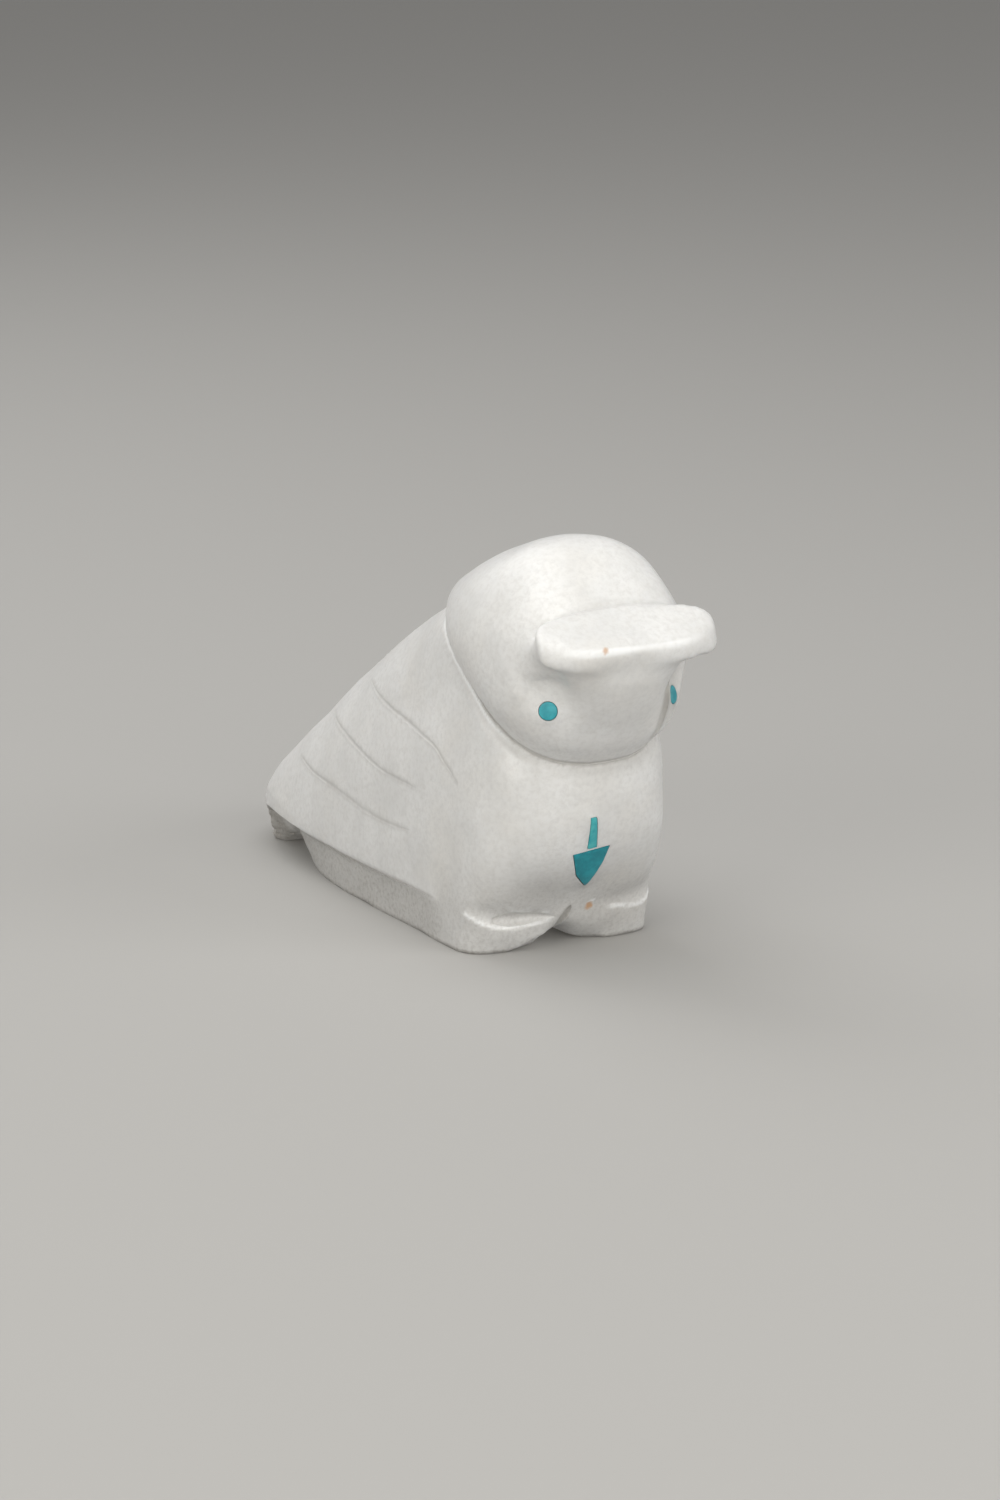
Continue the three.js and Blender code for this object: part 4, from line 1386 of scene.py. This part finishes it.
    def _dress(self, stone: Object) -> None:
        """Shades the stone and sets it in the bird's place."""
        stone.data.shade_smooth()
        stone.data.set_sharp_from_angle(angle=math.radians(self.smooth_angle))
        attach(stone, BODY)
        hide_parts(STONE_NODE)
        stone.data.calc_loop_triangles()
        log.info("%s: %d triangles", stone.name, len(stone.data.loop_triangles))


def nearest_distance(points: np.ndarray, places: np.ndarray, limit: float) -> np.ndarray:
    """How far each point is from the nearest of some places, up to a limit.

    Args:
        points: Rows of x, y and z.
        places: Rows of x, y and z.
        limit: The largest distance of use.

    Returns:
        One distance a point, none above the limit.
    """
    cell = limit
    cells: dict[tuple[int, int, int], list[np.ndarray]] = {}
    for spot in places:
        cells.setdefault(tuple(np.floor(spot / cell).astype(int)), []).append(spot)
    packed = {key: np.array(rows) for key, rows in cells.items()}
    found = np.full(len(points), limit)
    keys = np.floor(points / cell).astype(int)
    order = np.lexsort(keys.T)
    starts = np.flatnonzero(np.any(np.diff(keys[order], axis=0), axis=1)) + 1
    for group in np.split(order, starts):
        key = keys[group[0]]
        near = [
            packed[(key[0] + i, key[1] + j, key[2] + k)]
            for i in (-1, 0, 1)
            for j in (-1, 0, 1)
            for k in (-1, 0, 1)
            if (key[0] + i, key[1] + j, key[2] + k) in packed
        ]
        if near:
            rows = np.concatenate(near)
            gaps = np.linalg.norm(points[group][:, None, :] - rows[None, :, :], axis=2).min(axis=1)
            found[group] = np.minimum(gaps, limit)
    return found


@dataclass(frozen=True)
class SoftLight:
    """A square soft light: where it hangs from the toes, its side, its power and its colour."""

    name: str
    place: Mark
    size_mm: float
    power: float
    tint: str = "#FFFFFF"


@dataclass(frozen=True)
class Studio:
    """A pale floor, broad soft lights above and around, and a camera as the photograph was taken."""

    marks: BirdMarks
    azimuth: float = -29.0
    elevation: float = 14.0
    distance_mm: float = 600.0
    aim_right_mm: float = -6.1
    aim_up_mm: float = 19.28
    lens: float = 144.0
    sensor: float = 36.0
    sight_m: Pair = (0.01, 10.0)
    floor_half_mm: float = 900.0
    floor_colour: str = "#B6B4B0"
    floor_roughness: float = 0.9
    sky: str = "#FFFFFF"
    dim_and_full_height: Pair = (-0.3, 0.15)
    sky_strengths: Pair = (0.23, 0.34)
    lit: Mark = (0.0, -15.0, 15.0)
    lights: tuple[SoftLight, ...] = (
        SoftLight("overhead", (60.0, 20.0, 420.0), 420.0, 0.74),
        SoftLight("front", (60.0, 450.0, 90.0), 320.0, 0.72, "#FFFDF8"),
        SoftLight("right", (430.0, 150.0, 110.0), 300.0, 0.78, "#FFFDF8"),
        SoftLight("left", (-280.0, 380.0, 220.0), 300.0, 0.76),
        SoftLight("behind", (60.0, -330.0, 330.0), 300.0, 0.5),
    )

    def camera(self) -> None:
        """Sets up the camera, in front of the bird and to its right."""
        a, e = math.radians(self.azimuth), math.radians(self.elevation)
        back = Vector((math.sin(a) * math.cos(e), -math.cos(a) * math.cos(e), math.sin(e)))
        right = Vector((math.cos(a), math.sin(a), 0.0))
        up = back.cross(right)
        data = bpy.data.cameras.new("camera")
        data.lens, data.sensor_width = self.lens, self.sensor
        data.clip_start, data.clip_end = self.sight_m
        made = new_object("camera", data)
        offset = back * self.distance_mm + right * self.aim_right_mm + up * self.aim_up_mm
        turn = Matrix((right, up, back)).transposed().to_4x4()
        made.matrix_world = Matrix.Translation(self.marks.place(0, 0, 0) + offset * MM) @ turn
        bpy.context.scene.camera = made

    def floor(self) -> None:
        """Lays the floor that the bird stands on, which throws no light back up at it."""
        half = self.floor_half_mm * MM
        mesh = bpy.data.meshes.new("floor")
        mesh.from_pydata([(-half, -half, 0), (half, -half, 0), (half, half, 0), (-half, half, 0)], [], [(0, 1, 2, 3)])
        made = new_object("floor", mesh)
        paint, tree, shader = new_material("floor")
        feed(tree, shader, {"Base Color": colour(self.floor_colour), "Roughness": self.floor_roughness})
        mesh.materials.append(paint)
        made.visible_diffuse = False

    def light(self, soft: SoftLight) -> None:
        """Hangs one light, aimed at the bird and out of the camera's sight."""
        data = bpy.data.lights.new(soft.name, "AREA")
        data.size = soft.size_mm * MM
        data.energy = soft.power
        data.color = colour(soft.tint)[:3]
        made = new_object(soft.name, data)
        made.location = self.marks.place(*soft.place)
        made.rotation_mode = "QUATERNION"
        made.rotation_quaternion = (self.marks.place(*self.lit) - made.location).to_track_quat("-Z", "Y")
        made.visible_camera = False

    def world(self) -> None:
        """The even light of a pale room, dim below the bird."""
        made = bpy.data.worlds.new("room")
        made.use_nodes = True
        tree = made.node_tree
        way = node(tree, "ShaderNodeTexCoord").outputs["Generated"]
        height = node(tree, "ShaderNodeSeparateXYZ", {"Vector": way}).outputs["Z"]
        strength = span(tree, height, self.dim_and_full_height, self.sky_strengths)
        feed(tree, tree.nodes["Background"], {"Color": colour(self.sky), "Strength": strength})
        bpy.context.scene.world = made

    def build(self) -> None:
        """Sets up the whole studio."""
        self.camera()
        self.floor()
        for soft in self.lights:
            self.light(soft)
        self.world()
        bpy.context.scene.view_settings.view_transform = "Standard"


EYE_TURQUOISE = TurquoiseFinish("eye_turquoise", "#3AAEB8", "#1F95A1")
HEAD_TURQUOISE = TurquoiseFinish("arrow_head_turquoise", "#1B9AA6", "#128490")
SHAFT_TURQUOISE = TurquoiseFinish("arrow_shaft_turquoise", "#52BDBF", "#2FA5AE")


def corners(pair: Iterable[Vector]) -> list[list[float]]:
    """Two corners as plain lists of numbers."""
    return [[float(c) for c in corner] for corner in pair]


def main() -> None:
    """Builds the bird and its studio."""
    logging.basicConfig(level=logging.INFO, format="%(name)s: %(message)s")
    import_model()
    marks = BirdMarks.from_frame()
    inlays = [
        Inlay("eye_inlay_right", EYE_TURQUOISE, "eye_inlay_right", 0.1),
        Inlay("eye_inlay_left", EYE_TURQUOISE, "eye_inlay_left", 0.1),
        Inlay("arrow_head_inlay", HEAD_TURQUOISE, "arrow_head_inlay", 0.2, (-0.04, 0.04)),
        Inlay("arrow_shaft_inlay", SHAFT_TURQUOISE, "arrow_head_inlay", 0.12),
    ]
    _, uncut = CarvedStone(marks, StoneFinish(), inlays).build()
    for inlay in inlays:
        inlay.build(uncut)
    discard(uncut)
    Studio(marks).build()


if __name__ == "__main__":
    main()
